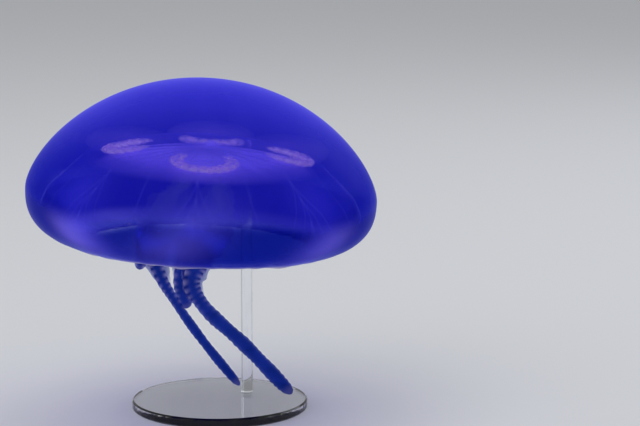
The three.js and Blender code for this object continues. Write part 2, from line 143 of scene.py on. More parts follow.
@dataclass
class Surface:
    """A closed mesh as arrays, with a value or a vector at each point for every mask.

    Attributes:
        places: (n, 3) points in millimetres.
        quads: (q, 4) point indices.
        triangles: (t, 3) point indices.
        masks: name of each mask with its (n,) values or (n, 3) vectors.
    """

    places: Array
    quads: Array
    triangles: Array
    masks: dict[str, Array] = field(default_factory=dict)

    def volume(self) -> float:
        """Adds up the pyramids between the origin and each triangle.

        Returns:
            The signed volume, positive where the faces point outwards.
        """
        corners = np.vstack([self.quads[:, [0, 1, 2]], self.quads[:, [0, 2, 3]], self.triangles])
        a, b, c = (self.places[corners[:, k]] for k in range(3))
        return float(np.einsum("ij,ij->i", a, np.cross(b, c)).sum() / 6)

    def outwards(self) -> "Surface":
        """Turns every face round if they point inwards.

        Returns:
            This surface.
        """
        if self.volume() < 0:
            self.quads, self.triangles = self.quads[:, ::-1], self.triangles[:, ::-1]
        return self

    @staticmethod
    def joined(parts: list["Surface"]) -> "Surface":
        """Makes one surface of several that have the same masks.

        Args:
            parts: the surfaces.

        Returns:
            The whole.
        """
        starts = np.cumsum([0] + [len(p.places) for p in parts[:-1]])
        return Surface(
            np.vstack([p.places for p in parts]),
            np.vstack([p.quads + s for p, s in zip(parts, starts, strict=True)]),
            np.vstack([p.triangles + s for p, s in zip(parts, starts, strict=True)]),
            {name: np.concatenate([p.masks[name] for p in parts]) for name in parts[0].masks},
        )

    def piece(self, name: str, material: Material) -> bpy.types.Object:
        """Makes the surface a Blender object at the origin, in metres.

        Args:
            name: the piece's name.
            material: its finish.

        Returns:
            The linked object, smooth shaded.
        """
        mesh = bpy.data.meshes.new(name)
        corners = np.concatenate([self.quads.ravel(), self.triangles.ravel()]).astype(np.int32)
        quads, triangles = len(self.quads), len(self.triangles)
        starts = np.concatenate([np.arange(quads) * 4, quads * 4 + np.arange(triangles) * 3])
        mesh.vertices.add(len(self.places))
        mesh.vertices.foreach_set("co", (self.places * METRE).astype(np.float32).ravel())
        mesh.loops.add(len(corners))
        mesh.loops.foreach_set("vertex_index", corners)
        mesh.polygons.add(len(starts))
        mesh.polygons.foreach_set("loop_start", starts.astype(np.int32))
        mesh.polygons.foreach_set("use_smooth", np.ones(len(starts), bool))
        mesh.update(calc_edges=True)
        for mask, values in self.masks.items():
            kind, slot = ("FLOAT_VECTOR", "vector") if values.ndim == 2 else ("FLOAT", "value")
            data = mesh.attributes.new(mask, kind, "POINT").data
            data.foreach_set(slot, values.astype(np.float32).ravel())
        mesh.materials.append(material)
        made = bpy.data.objects.new(name, mesh)
        bpy.context.scene.collection.objects.link(made)
        log.info("%s: %d points, %d faces", name, len(self.places), len(starts))
        return made


def band_faces(rows: int, columns: int) -> Array:
    """Quads between the rows of a grid whose columns close on themselves.

    Args:
        rows: rows of the grid.
        columns: points in a row.

    Returns:
        (n, 4) point indices.
    """
    here = np.arange((rows - 1) * columns).reshape(rows - 1, columns)
    there = np.roll(here, -1, axis=1)
    return np.stack([here, here + columns, there + columns, there], axis=-1).reshape(-1, 4)


def with_middles(values: Array) -> Array:
    """Values of rows of rings as a list, with those of the first and last rings' middles after it."""
    middles = [values[:, end].mean(axis=1) for end in (0, -1)]
    return np.concatenate([values.reshape(-1, *values.shape[3:]), *middles])


def tubes(rings: Array, masks: dict[str, Array] | None = None) -> Surface:
    """Closed tubes through rows of rings, each end closed by a fan to its ring's middle.

    Args:
        rings: (tubes, rings, points, 3) places.
        masks: name with (tubes, rings, points) values or (tubes, rings, points, 3) vectors.

    Returns:
        One surface with every tube in it.
    """
    count, rows, columns, _ = rings.shape
    whole = rows * columns
    first = np.arange(count)[:, None] * whole
    last = first + whole - columns
    quads = (band_faces(rows, columns)[None] + first[:, :, None]).reshape(-1, 4)
    here = np.arange(columns)
    ahead = np.roll(here, -1)
    starts = count * whole + np.arange(count)
    near = [np.repeat(starts, columns), (first + here).ravel(), (first + ahead).ravel()]
    far = [np.repeat(starts + count, columns), (last + ahead).ravel(), (last + here).ravel()]
    fans = np.hstack([near, far]).T
    gathered = {name: with_middles(values) for name, values in (masks or {}).items()}
    return Surface(with_middles(rings), quads, fans, gathered).outwards()


def round_tubes(routes: Array, up: Array, wide: Array, high: Array, sides: int) -> Array:
    """Rings of an ellipse carried along routes.

    Each ring is centre + across * wide * cos(a) + normal * high * sin(a), where across is square to
    the route and to up, and a goes once round.

    Args:
        routes: (tubes, rings, 3) centres.
        up: direction, broadcast against routes, that the ellipse's height leans to.
        wide: (tubes, rings) half widths.
        high: (tubes, rings) half heights.
        sides: points on each ring.

    Returns:
        (tubes, rings, sides, 3) places.
    """
    along = unit(np.gradient(routes, axis=1))
    across = unit(np.cross(along, np.broadcast_to(up, routes.shape)))
    normal = np.cross(across, along)
    a = circle(sides)
    return (
        routes[:, :, None]
        + across[:, :, None] * (wide[..., None] * np.cos(a))[..., None]
        + normal[:, :, None] * (high[..., None] * np.sin(a))[..., None]
    )


def sheet(middle: Array, normal: Array, half: Array, masks: dict[str, Array]) -> Surface:
    """A closed skin round a sheet: middle + normal * half and middle - normal * half, joined.

    Args:
        middle: (rows, columns, 3) places of the sheet.
        normal: directions across the sheet, broadcast against middle.
        half: (rows, columns) half thickness.
        masks: name with (rows, columns) values.

    Returns:
        The skin, with the same masks on both faces.
    """
    front, back = (middle + normal * (side * half)[..., None] for side in (1, -1))
    rings = np.concatenate([front, back[:, ::-1]], axis=1)
    doubled = {name: np.concatenate([v, v[:, ::-1]], axis=1)[None] for name, v in masks.items()}
    return tubes(rings[None], doubled)


# ---------------------------------------------------------------- the bell's shape


@dataclass(frozen=True)
class Fold:
    """A thick fold of the bell's wall.

    Attributes:
        azimuth: its middle, in degrees.
        half_width: its half width, in degrees.
        strength: how thick it is, from 0 to 1.
        top: the height where it starts.
        rise: how far below its start it is full.
    """

    azimuth: float
    half_width: float
    strength: float
    top: float = 3.0
    rise: float = 11.0


@dataclass(frozen=True)
class BellShape:
    """The bell's own frame and profile. Its origin is the centre of the widest ring.

    Attributes:
        widest_level: height of the widest ring above the floor.
        lean: how far the axis leans to the right.
        crown_bulge: powers that shape the crown's radii and heights.
        under_bulge: the same for the part that turns in.
        hollow_bulge: the same for the lining opposite it.
        roof_fall: how far the roof falls to roof_edge.
        corner_blend: how softly the roof meets the wall.
        fineness: points on each part of the profile.
        under: drops below the widest ring over which the lappets' shapes set in.
        lower: shares of the turned-in part over which scallops set in and the swell fades.
        notch_drop: how far the edge hangs in a notch, and the half angle of that.
        swell_turn: the angle that the swell's sine takes over the crown's height, and its start.
        fold_level: the height where a fold is at its own azimuth.
        fold_lean: how fast it leaves that, in radians to a millimetre.
        fold_shift: how far a fold moves the wall out and down.
        fold_end: drops over which the folds thin, by fold_thinning.
    """

    widest_level: float = 116.0
    lean: float = math.radians(3)
    radius: float = 90.0
    crown_height: float = 58.4
    crown_bulge: Pair = (0.98, 1.32)
    margin_radius: float = 61.5
    margin_drop: float = 27.8
    under_bulge: Pair = (1.15, 0.73)
    margin_thickness: float = 1.0
    roof_height: float = 29.0
    roof_edge: float = 54.0
    roof_fall: float = 8.0
    roof_end: float = 78.0
    wall_radius: float = 62.5
    wall_height: float = 14.2
    wall_slope: float = 0.97
    corner_blend: float = 3.0
    hollow_radius: float = 81.3
    hollow_widest: float = -8.0
    hollow_bulge: Pair = (1.1, 0.9)
    fineness: int = 600
    edge_points: int = 5
    lappets: int = 8
    under: Pair = (3.0, 11.0)
    lower: Pair = (0.5, 1.0)
    first_notch: float = math.radians(-50)
    notch_depth: float = 2.5
    notch_start: float = 0.62
    notch_half_angle: float = math.radians(4)
    notch_drop: Pair = (0.5, 0.11)
    scallop: float = 0.7
    pleat: float = 0.2
    pleat_waves: tuple[int, ...] = (24, 32, 40, 56)
    swell: float = 0.35
    swell_waves: tuple[int, ...] = (2, 3, 5, 8)
    swell_turn: Pair = (2.2, 1.0)
    fold_level: float = -12.0
    fold_lean: float = 0.009
    fold_shift: Pair = (1.0, 0.8)
    fold_end: Pair = (14.0, 25.0)
    fold_thinning: float = 0.7
    folds: tuple[Fold, ...] = (
        Fold(-42.5, 9.5, 1.0, 0.0),
        Fold(48.5, 9.5, 0.72, 0.0),
        Fold(134.0, 12.0, 0.6),
        Fold(-124.0, 12.0, 0.8),
        Fold(355.0, 12.0, 0.46, 20.0, 32.0),
    )

    @property
    def octant(self) -> float:
        """The angle between two notches."""
        return FULL_TURN / self.lappets

    def placed(self, places: Array) -> Array:
        """Moves places of the bell's frame to the model's: leans them to the right, then raises them.

        Args:
            places: (..., 3) places.

        Returns:
            (..., 3) places.
        """
        x, y, z = np.moveaxis(places, -1, 0)
        c, s = math.cos(self.lean), math.sin(self.lean)
        return np.stack([x * c + z * s, y, self.widest_level - x * s + z * c], axis=-1)

    def leaned(self, made: Surface) -> Surface:
        """The surface, moved from the bell's frame to the model's."""
        made.places = self.placed(made.places)
        return made

    def roof(self, radius: Array) -> Array:
        """Height of the hollow's roof: a parabola and a cone, joined by a smooth minimum.

        Args:
            radius: distances from the axis.

        Returns:
            The height at each.
        """
        roof = self.roof_height - self.roof_fall * (radius / self.roof_edge) ** 2
        wall = self.wall_height - self.wall_slope * (radius - self.wall_radius)
        near = np.maximum(self.corner_blend - np.abs(roof - wall), 0) / self.corner_blend
        return np.minimum(roof, wall) - near * near * self.corner_blend / 4

    def turns(self) -> tuple[Array, Array]:
        """Sines from 0 to 1 and cosines from 1 to 0 of a quarter turn."""
        turn = np.linspace(0, QUARTER_TURN, self.fineness)
        return np.sin(turn), np.maximum(np.cos(turn), 0)

    def outside(self) -> Array:
        """The outer profile from the crown to the edge: powers of sine and cosine.

        Returns:
            (n, 2) radii and heights.
        """
        sine, cosine = self.turns()
        (crown_r, crown_z), (under_r, under_z) = self.crown_bulge, self.under_bulge
        crown = [self.radius * sine**crown_r, self.crown_height * cosine**crown_z]
        reach = self.radius - self.margin_radius
        under = [self.margin_radius + reach * cosine**under_r, -self.margin_drop * sine**under_z]
        return np.vstack([np.transpose(crown), np.transpose(under)[1:]])

    def lining(self) -> Array:
        """The hollow's profile from the edge up its wall, then along the roof to the middle.

        Returns:
            (n, 2) radii and heights.
        """
        sine, cosine = (values[::-1] for values in self.turns())
        radial, height = self.hollow_bulge
        reach = self.hollow_radius - self.margin_radius
        drop = self.margin_drop - self.margin_thickness + self.hollow_widest
        wall = [self.margin_radius + reach * cosine**radial, self.hollow_widest - drop * sine**height]
        radii = np.linspace(self.roof_end, 0, self.fineness)
        return np.vstack([np.transpose(wall), np.transpose([radii, self.roof(radii)])])

    def edge_round(self) -> Array:
        """The half circle that rounds the edge between the outer skin and the lining.

        Returns:
            (n, 2) radii and heights.
        """
        turn = np.linspace(0, math.pi, self.edge_points + 2)[1:-1]
        half = self.margin_thickness / 2
        inner, level = self.margin_radius - half * np.sin(turn), half - self.margin_drop
        return np.stack([inner, level - half * np.cos(turn)], axis=1)

    def from_notch(self, azimuth: Array) -> Array:
        """Angle from the nearest notch."""
        past = azimuth - self.first_notch
        return past - np.round(past / self.octant) * self.octant

    def fold(self, azimuth: Array, height: Array) -> Array:
        """How thick the wall's folds are.

        Each fold is a bell curve of the angle from its middle, which leans with height. It grows
        from its own start downwards, and every fold thins again towards the edge.

        Args:
            azimuth: angles round the axis.
            height: profile heights, broadcast against azimuth.

        Returns:
            The thickness at each place, from 0 to 1.
        """
        lean = (height - self.fold_level) * self.fold_lean
        thick = 0.0
        for fold in self.folds:
            middle = math.radians(fold.azimuth) + math.copysign(1, fold.azimuth) * lean
            there = eased(fold.top - height, 0, fold.rise) * fold.strength
            thick = thick + there * hump(turned(azimuth, middle), math.radians(fold.half_width))
        return np.clip(thick, 0, 1) * (1 - self.fold_thinning * eased(-height, *self.fold_end))

    def shaped(self, azimuth: Array, radius: Array, height: Array) -> Array:
        """Places on the bell, with its lappets, pleats and slight unevenness.

        The under side, where the profile turns in, takes a share q that grows from 0 at the widest
        ring to 1 at the edge. There the radius gains the notch, a bell curve of the angle from the
        nearest notch, and loses a scallop, a squared cosine that is most at the notch. The height
        gains pleats, a ripple of many waves times q squared. Above the under side the radius gains
        a slow swell, a ripple times a sine of the height. The folds move the wall out and down.

        Args:
            azimuth: angles round the axis.
            radius: profile radii, broadcast against azimuth.
            height: profile heights.

        Returns:
            (..., 3) places in the bell's frame.
        """
        q = np.clip((self.radius - radius) / (self.radius - self.margin_radius), 0, 1)
        q = q * eased(-height, *self.under)
        off, lower = self.from_notch(azimuth), eased(q, *self.lower)
        notch = self.notch_depth * eased(q, self.notch_start, 1) * hump(off, self.notch_half_angle)
        scallop = -self.scallop * lower * np.cos(off * self.lappets / 2) ** 2
        pleats = self.pleat * q**2 * ripple(azimuth, self.pleat_waves, 3)
        turn, start = self.swell_turn
        swell = self.swell * np.sin(turn * height / self.crown_height + start)
        swell = swell * ripple(azimuth, self.swell_waves, 5) * eased(radius, 5, 40) * (1 - lower)
        fold, (fold_out, fold_down) = self.fold(azimuth, height), self.fold_shift
        drop, drop_angle = self.notch_drop
        r = radius + notch + scallop + swell + fold_out * fold * (1 - eased(q, 0.6, 1))
        z = height + pleats - fold_down * fold - drop * lower * hump(off, drop_angle)
        return around(azimuth, r, z)


@dataclass(frozen=True)
class GonadRing:
    """Where the four horseshoe gonads lie, and how big they are."""

    count: int = 4
    reach: float = 39.0
    aside: float = 2.3
    long: float = 12.0
    wide: float = 14.0
    half_width: float = 4.0
    thickness: float = 4.6
    opening: float = math.radians(42)

    @property
    def azimuths(self) -> list[float]:
        """Where each gonad lies, from the front."""
        return [k * QUARTER_TURN for k in range(self.count)]

    def centre(self, azimuth: float, height: float = 0.0) -> Array:
        """The middle of the gonad at an azimuth."""
        return around(np.array(azimuth), self.reach, height) + np.array([self.aside, 0, 0])


BELL = BellShape()
GONADS = GonadRing()
POCKET_DEPTH = 5.4  # between the hollow's roof and the stomach's floor


# ---------------------------------------------------------------- shader wiring


class Wiring:
    """Adds nodes to one shader tree and joins them."""

    def __init__(self, tree: Tree) -> None:
        """Keeps the tree that the nodes go in."""
        self.tree = tree

    def feed(self, socket: Socket, source: Input) -> None:
        """Joins a socket to an output, or sets its plain value.

        Args:
            socket: the input.
            source: an output, a number or a colour.
        """
        if isinstance(source, Socket):
            self.tree.links.new(source, socket)
        elif isinstance(source, tuple) and socket.type == "RGBA":
            socket.default_value = (*source, 1.0)
        else:
            socket.default_value = source

    def node(
        self, kind: str, inputs: dict[int | str, Input], output: int | str = 0, **settings: object
    ) -> Socket:
        """Adds a node.

        Args:
            kind: its type.
            inputs: the source for each of its inputs.
            output: which of its outputs is wanted.
            settings: its own settings.

        Returns:
            That output.
        """
        made = self.tree.nodes.new(kind)
        for name, value in settings.items():
            setattr(made, name, value)
        for place, source in inputs.items():
            self.feed(made.inputs[place], source)
        return made.outputs[output]

    def value(self, low: Input, high: Input, share: Input) -> Socket:
        """A number that goes from low to high with share."""
        places = {0: share, 2: low, 3: high}
        return self.node("ShaderNodeMix", places, data_type="FLOAT", clamp_factor=True)

    def colour(self, low: Input, high: Input, share: Input) -> Socket:
        """A colour that goes from low to high with share."""
        places = {0: share, 6: low, 7: high}
        return self.node("ShaderNodeMix", places, 2, data_type="RGBA", clamp_factor=True)

    def maths(self, operation: str, first: Input, second: Input) -> Socket:
        """One sum on two numbers."""
        return self.node("ShaderNodeMath", {0: first, 1: second}, operation=operation)

    def mask(self, name: str, output: str = "Fac") -> Socket:
        """The value of one of the piece's masks, or its vector."""
        return self.node("ShaderNodeAttribute", {}, output, attribute_name=name)

    def behind(self) -> Socket:
        """1 where the back of a face is seen, and 0 in front."""
        return self.node("ShaderNodeNewGeometry", {}, "Backfacing")

    def effect(self, group: Tree, output: str, **values: Input) -> Socket:
        """One output of a shared effect, placed with its own values."""
        inputs = {name.capitalize(): source for name, source in values.items()}
        return self.node("ShaderNodeGroup", inputs, output, node_tree=group)

    def surface(self, share: Input, under: Socket, over: Socket) -> None:
        """Mixes two shaders by a share and makes the mix the material's surface."""
        mix = self.node("ShaderNodeMixShader", {0: share, 1: under, 2: over})
        self.feed(self.tree.nodes.new("ShaderNodeOutputMaterial").inputs["Surface"], mix)


def new_material(name: str) -> tuple[Material, Wiring]:
    """Makes an empty material.

    Args:
        name: its name.

    Returns:
        The material and the wiring of its nodes.
    """
    material = bpy.data.materials.new(name)
    material.use_nodes = True
    material.node_tree.nodes.clear()
    return material, Wiring(material.node_tree)


def new_effect(name: str, inputs: dict[str, float | None], output: str) -> tuple[Wiring, dict, Socket]:
    """Makes a shader node group whose output is a number.

    Args:
        name: the group's name.
        inputs: each input's name with its usual value, or None for a vector.
        output: the output's name.

    Returns:
        The group's wiring, the sources that its inputs give, and the socket of its output.
    """
    group = bpy.data.node_groups.new(name, "ShaderNodeTree")
    for label, usual in inputs.items():
        kind = "NodeSocketVector" if usual is None else "NodeSocketFloat"
        socket = group.interface.new_socket(label, in_out="INPUT", socket_type=kind)
        if usual is not None:
            socket.default_value = usual
    group.interface.new_socket(output, in_out="OUTPUT", socket_type="NodeSocketFloat")
    given, wanted = group.nodes.new("NodeGroupInput"), group.nodes.new("NodeGroupOutput")
    return Wiring(group), {label: given.outputs[label] for label in inputs}, wanted.inputs[output]


class Effects:
    """The effects that more than one finish uses, each built once."""

    CELL_SHARE = 0.3

    def __init__(self) -> None:
        """Builds the groups."""
        self.mottling = self.patches("cloudy_flesh", "Place", 2.0)
        self.streaks = self.patches("radial_streaks", "Ring", 3.0)
        self.grain = self.uneven()

    @staticmethod
    def patches(name: str, place: str, detail: float) -> Tree:
        """Noise, spread by a smooth step that goes from 0 at Low to 1 at High.

        Args:
            name: the group's name.
            place: the name of the vector that the noise lies on.
            detail: how many finer layers the noise has.

        Returns:
            The group, whose output is Mask.
        """
        usual = {place: None, "Scale": 40.0, "Low": 0.3, "High": 0.7}
        wires, given, mask = new_effect(name, usual, "Mask")
        lies = {"Vector": given[place], "Scale": given["Scale"], "Detail": detail}
        noise = wires.node("ShaderNodeTexNoise", lies, "Fac", noise_dimensions="3D")
        limits = {"Value": noise, "From Min": given["Low"], "From Max": given["High"]}
        kind = "SMOOTHSTEP"
        wires.feed(mask, wires.node("ShaderNodeMapRange", limits, "Result", interpolation_type=kind))
        return wires.tree

    def uneven(self) -> Tree:
        """A fine uneven height for wet flesh: noise mixed with a pattern of cells.

        Returns:
            The group, whose output is Height.
        """
        wires, given, height = new_effect("flesh_grain", {"Place": None, "Scale": 300.0}, "Height")
        lies = {"Vector": given["Place"], "Scale": given["Scale"]}
        noise = wires.node("ShaderNodeTexNoise", lies, "Fac", noise_dimensions="3D")
        cells = wires.node("ShaderNodeTexVoronoi", lies, "Distance", feature="F1")
        wires.feed(height, wires.value(noise, cells, self.CELL_SHARE))
        return wires.tree


# ---------------------------------------------------------------- finishes


class Shine(Enum):
    """How wet a finish is: its roughness and its specular level."""

    WET = (0.3, 0.035)
    MOIST = (0.38, 0.06)
    SOFT = (0.5, 0.04)


@dataclass(frozen=True)
class Cover:
    """How much a layer hides of what is behind it, seen face on and at its edge."""

    face: float
    edge: float


def hiding(wires: Wiring, front: Cover, back: Cover, edge: Input) -> Socket:
    """How much a layer hides, by the side that is seen and how edge on it is.

    Args:
        wires: the material's wiring.
        front: what its front hides.
        back: what its back hides.
        edge: 0 face on and 1 edge on.

    Returns:
        The share it hides.
    """
    behind = wires.behind()
    face = wires.value(front.face, back.face, behind)
    return wires.value(face, wires.value(front.edge, back.edge, behind), edge)


@dataclass(frozen=True)
class JellyFinish:
    """A see-through flesh that glows a little and pales where it is seen edge on: a painted glow that stands
    in for light scattered along the longer path there.

    Attributes:
        name: the material's name.
        deep: its colour face on.
        pale: its colour edge on, where it is painted glow, and in its cloudy patches.
        tint: what it does to light that passes through.
        front: how much its front hides.
        back: how much its back hides.
        edge_power: how narrow the painted pale edge is.
        cloud: scale of the cloudy patches, and how far they pale it.
        grain: scale of the fine grain, and its height in metres.
        glow: light of its own, as a share of its colour.
        edge_glow: how far the pale edge shows in that light.
        shine: how wet it is.
        reflection_blue_tint: the colour of its gloss, a painted blue tint that stands in for blue light
            around it.
        refraction: how much it bends light.
        grain_strength: how far the grain turns the gloss.
    """

    name: str
    deep: Colour
    pale: Colour
    tint: Colour
    front: Cover
    back: Cover
    edge_power: float = 2.0
    cloud: Pair = (60.0, 0.2)
    grain: Pair = (500.0, 0.0001)
    glow: float = 0.5
    edge_glow: float = 0.4
    shine: Shine = Shine.WET
    reflection_blue_tint: Colour = (0.12, 0.16, 0.8)
    refraction: float = 1.36
    grain_strength: float = 0.3

    def marks(self, wires: Wiring, effects: Effects, place: Input) -> Socket:
        """How far each place is paled by its cloudy patches."""
        clouds = wires.effect(effects.mottling, "Mask", place=place, scale=self.cloud[0])
        return wires.maths("MULTIPLY", clouds, self.cloud[1])

    def colour(self, wires: Wiring, share: Input) -> Socket:
        """The colour where the flesh is paled by a share."""
        return wires.colour(self.deep, self.pale, share)

    def cover(self, wires: Wiring, edge: Input) -> Socket:
        """How much the surface hides."""
        return hiding(wires, self.front, self.back, edge)

    def through(self, wires: Wiring) -> Input:
        """The tint of what shows through."""
        return self.tint

    def build(self, effects: Effects) -> Material:
        """Makes the material: a Principled flesh over a tinted clear layer, by how much it hides.

        Args:
            effects: the shared effects.

        Returns:
            The material.
        """
        material, wires = new_material(self.name)
        place = wires.node("ShaderNodeTexCoord", {}, "Object")
        # Edge on, the flesh pales and glows more: painted light for the longer path through it.
        facing = wires.node("ShaderNodeLayerWeight", {"Blend": 0.5}, "Facing")
        edge = wires.maths("POWER", facing, self.edge_power)
        marks = self.marks(wires, effects, place)
        glowing = wires.maths("ADD", marks, wires.maths("MULTIPLY", edge, self.edge_glow))
        scale, height = self.grain
        grain = wires.effect(effects.grain, "Height", place=place, scale=scale)
        bump = {"Strength": self.grain_strength, "Distance": height, "Height": grain}
        roughness, specular = self.shine.value
        flesh = wires.node("ShaderNodeBsdfPrincipled", {
            "Base Color": self.colour(wires, wires.maths("ADD", marks, edge)),
            "Emission Color": self.colour(wires, glowing),
            "Emission Strength": self.glow,
            "Roughness": roughness,
            "IOR": self.refraction,
            "Specular IOR Level": specular,
            # The gloss is tinted blue: painted blue light in its reflections.
            "Specular Tint": self.reflection_blue_tint,
            "Normal": wires.node("ShaderNodeBump", bump, "Normal"),
        })
        clear = wires.node("ShaderNodeBsdfTransparent", {"Color": self.through(wires)})
        wires.surface(self.cover(wires, edge), clear, flesh)
        return material


@dataclass(frozen=True)
class Streak:
    """One size of the streaks that run down the bell: its scale, its limits and how far it pales."""

    scale: float
    low: float
    high: float
    strength: float


@dataclass(frozen=True)
class BellFinish(JellyFinish):
    """The bell's jelly. Its masks tell the lining from the outer skin, the margin, its folds and rim.

    Attributes:
        shaded_side_pale: the outer skin's colour edge on, below the crown, darker than the crown's pale edge,
            which is painted light from above.
        lining_front: how much the lining hides, seen from the hollow.
        lining_back: how much the lining hides, seen through the jelly.
        lining_deep: the lining's colour face on.
        lining_pale: the lining's colour edge on.
        hem: the colour of a painted highlight on the lining next to the edge, also laid on the lining's paler
            roof.
        margin_painted_shade: the colour of the turned-in margin, darkened as painted shade for the dark seen
            through it.
        margin_shade_tint: what the margin does to light that passes through, darkened as painted shade too.
        fold: the colour of the margin's thick folds, and how much they hide.
        rim: the colour of the thin edge itself, and how much it hides.
        thinned: what is left next to the edge of all but the outer skin's front.
        streaks: the fine and the broad streaks.
        outer_streaks: how strong they are in the outer skin.
    """

    shaded_side_pale: Colour = (0.003, 0.008, 0.34)
    lining_front: Cover = Cover(0.6, 0.25)
    lining_back: Cover = Cover(0.14, 0.05)
    lining_deep: Colour = (0.03, 0.028, 0.37)
    lining_pale: Colour = (0.07, 0.062, 0.46)
    hem: Colour = (0.4, 0.34, 0.76)
    margin_painted_shade: Colour = (0.0005, 0.004, 0.22)
    margin_shade_tint: Colour = (0.1, 0.15, 0.6)
    fold: tuple[Colour, float] = ((0.138, 0.112, 0.72), 0.6)
    rim: tuple[Colour, float] = ((0.27, 0.245, 0.34), 0.9)
    thinned: float = 0.02
    streaks: tuple[Streak, ...] = (Streak(2.6, 0.44, 0.74, 0.14), Streak(0.55, 0.4, 0.7, 0.18))
    outer_streaks: float = 0.15

    def marks(self, wires: Wiring, effects: Effects, place: Input) -> Socket:
        """How far each place is paled: by clouds, and by streaks that are stronger in the lining.

        Args:
            wires: the material's wiring.
            effects: the shared effects.
            place: the piece's own coordinates.

        Returns:
            The share.
        """
        ring, total = wires.mask("ring", "Vector"), super().marks(wires, effects, place)
        shown = wires.value(self.outer_streaks, 1.0, wires.mask("lining"))
        for kind in self.streaks:
            limits = {"scale": kind.scale, "low": kind.low, "high": kind.high}
            streaks = wires.effect(effects.streaks, "Mask", ring=ring, **limits)
            streaks = wires.maths("MULTIPLY", wires.maths("MULTIPLY", streaks, kind.strength), shown)
            total = wires.maths("ADD", total, streaks)
        return total

    def colour(self, wires: Wiring, share: Input) -> Socket:
        """Deep blue that pales with the share, with lilac folds and a pale rim.

        Args:
            wires: the material's wiring.
            share: how far it is paled.

        Returns:
            The colour.
        """
        lining = wires.mask("lining")
        # The margin's darker colour is painted shade for the dark seen through the lower bell.
        outer_deep = wires.colour(self.deep, self.margin_painted_shade, wires.mask("margin"))
        # The pale edge is paler on the crown than on the sides: painted light from above.
        outer_pale = wires.colour(self.shaded_side_pale, self.pale, wires.mask("crown"))
        deep = wires.colour(outer_deep, self.lining_deep, lining)
        jelly = wires.colour(deep, wires.colour(outer_pale, self.lining_pale, lining), share)
        # The hem is a painted highlight on the far lining next to the edge.
        for mask, colour in (("hem", self.hem), ("fold", self.fold[0]), ("rim", self.rim[0])):
            jelly = wires.colour(jelly, colour, wires.mask(mask))
        return jelly

    def cover(self, wires: Wiring, edge: Input) -> Socket:
        """How much each side hides: outer skin and lining, then folds and rim over them.

        Next to the edge everything but the front of the outer skin is thinned, so the edge of the
        far side stays soft.

        Args:
            wires: the material's wiring.
            edge: 0 face on and 1 edge on.

        Returns:
            The share it hides.
        """
        lining, behind = wires.mask("lining"), wires.behind()
        outer = hiding(wires, self.front, self.back, edge)
        whole = wires.value(outer, hiding(wires, self.lining_front, self.lining_back, edge), lining)
        for mask, (_, hides) in (("fold", self.fold), ("rim", self.rim)):
            whole = wires.value(whole, hides, wires.mask(mask))
        outer_front = wires.maths("MULTIPLY", wires.value(1.0, 0.0, behind), wires.value(1.0, 0.0, lining))
        left = wires.maths("MULTIPLY", whole, wires.value(1.0, self.thinned, wires.mask("thin")))
        return wires.value(left, whole, outer_front)

    def through(self, wires: Wiring) -> Input:
        """The tint of what shows through, stronger in the margin as painted shade."""
        return wires.colour(self.tint, self.margin_shade_tint, wires.mask("margin"))


@dataclass(frozen=True)
class MaskedFinish(JellyFinish):
    """A flesh whose mask "veil" says how much of it there is, and whose mask "crest" pales it."""

    crest: Colour = (0.5, 0.45, 0.8)

    def colour(self, wires: Wiring, share: Input) -> Socket:
        """The flesh's colour, paler on its crests."""
        return wires.colour(super().colour(wires, share), self.crest, wires.mask("crest"))

    def cover(self, wires: Wiring, edge: Input) -> Socket:
        """How much the surface hides, times how much of it there is."""
        return wires.maths("MULTIPLY", super().cover(wires, edge), wires.mask("veil"))

    def through(self, wires: Wiring) -> Input:
        """The tint of what shows through, which fades with the flesh."""
        return wires.colour((1.0, 1.0, 1.0), self.tint, wires.mask("veil"))


@dataclass(frozen=True)
class AcrylicFinish:
    """Clear cast acrylic with faint wipe marks in its polish.

    Attributes:
        name: the material's name.
        colour: the glass's own colour.
        shade: what it does to light on its way to the floor.
        refraction: how much it bends light.
        polish: its roughness, where it is clean and in the wipe marks.
        mark_scale: scale of the wipe marks.
        jelly: heights in metres over which the rod is lost in the jelly.
        lost: how much of the glass is left out there, because jelly bends light nearly as it does.
    """

    name: str = "clear_acrylic"
    colour: Colour = (0.97, 0.985, 1.0)
    shade: Colour = (0.97, 0.98, 0.99)
    refraction: float = 1.49
    polish: Pair = (0.01, 0.05)
    mark_scale: float = 90.0
    jelly: Pair = (0.084, 0.1)
    lost: float = 0.85

    def build(self, effects: Effects) -> Material:
        """Makes the material: a glass-like Principled shader that lets light through to the floor.

        Args:
            effects: the shared effects.

        Returns:
            The material.
        """
        material, wires = new_material(self.name)
        place = wires.node("ShaderNodeTexCoord", {}, "Object")
        marks = wires.effect(effects.mottling, "Mask", place=place, scale=self.mark_scale)
        clear = wires.node("ShaderNodeBsdfPrincipled", {
            "Base Color": self.colour,
            "Transmission Weight": 1.0,
            "IOR": self.refraction,
            "Roughness": wires.value(*self.polish, marks),
        })
        start, end = self.jelly
        height = wires.node("ShaderNodeSeparateXYZ", {0: place}, "Z")
        rise = wires.maths("DIVIDE", wires.maths("SUBTRACT", height, start), end - start)
        lost = wires.maths("MULTIPLY", wires.value(0.0, 1.0, rise), self.lost)
        shadow = wires.node("ShaderNodeLightPath", {}, "Is Shadow Ray")
        passing = wires.node("ShaderNodeBsdfTransparent", {"Color": self.shade})
        wires.surface(wires.maths("MAXIMUM", shadow, lost), clear, passing)
        return material


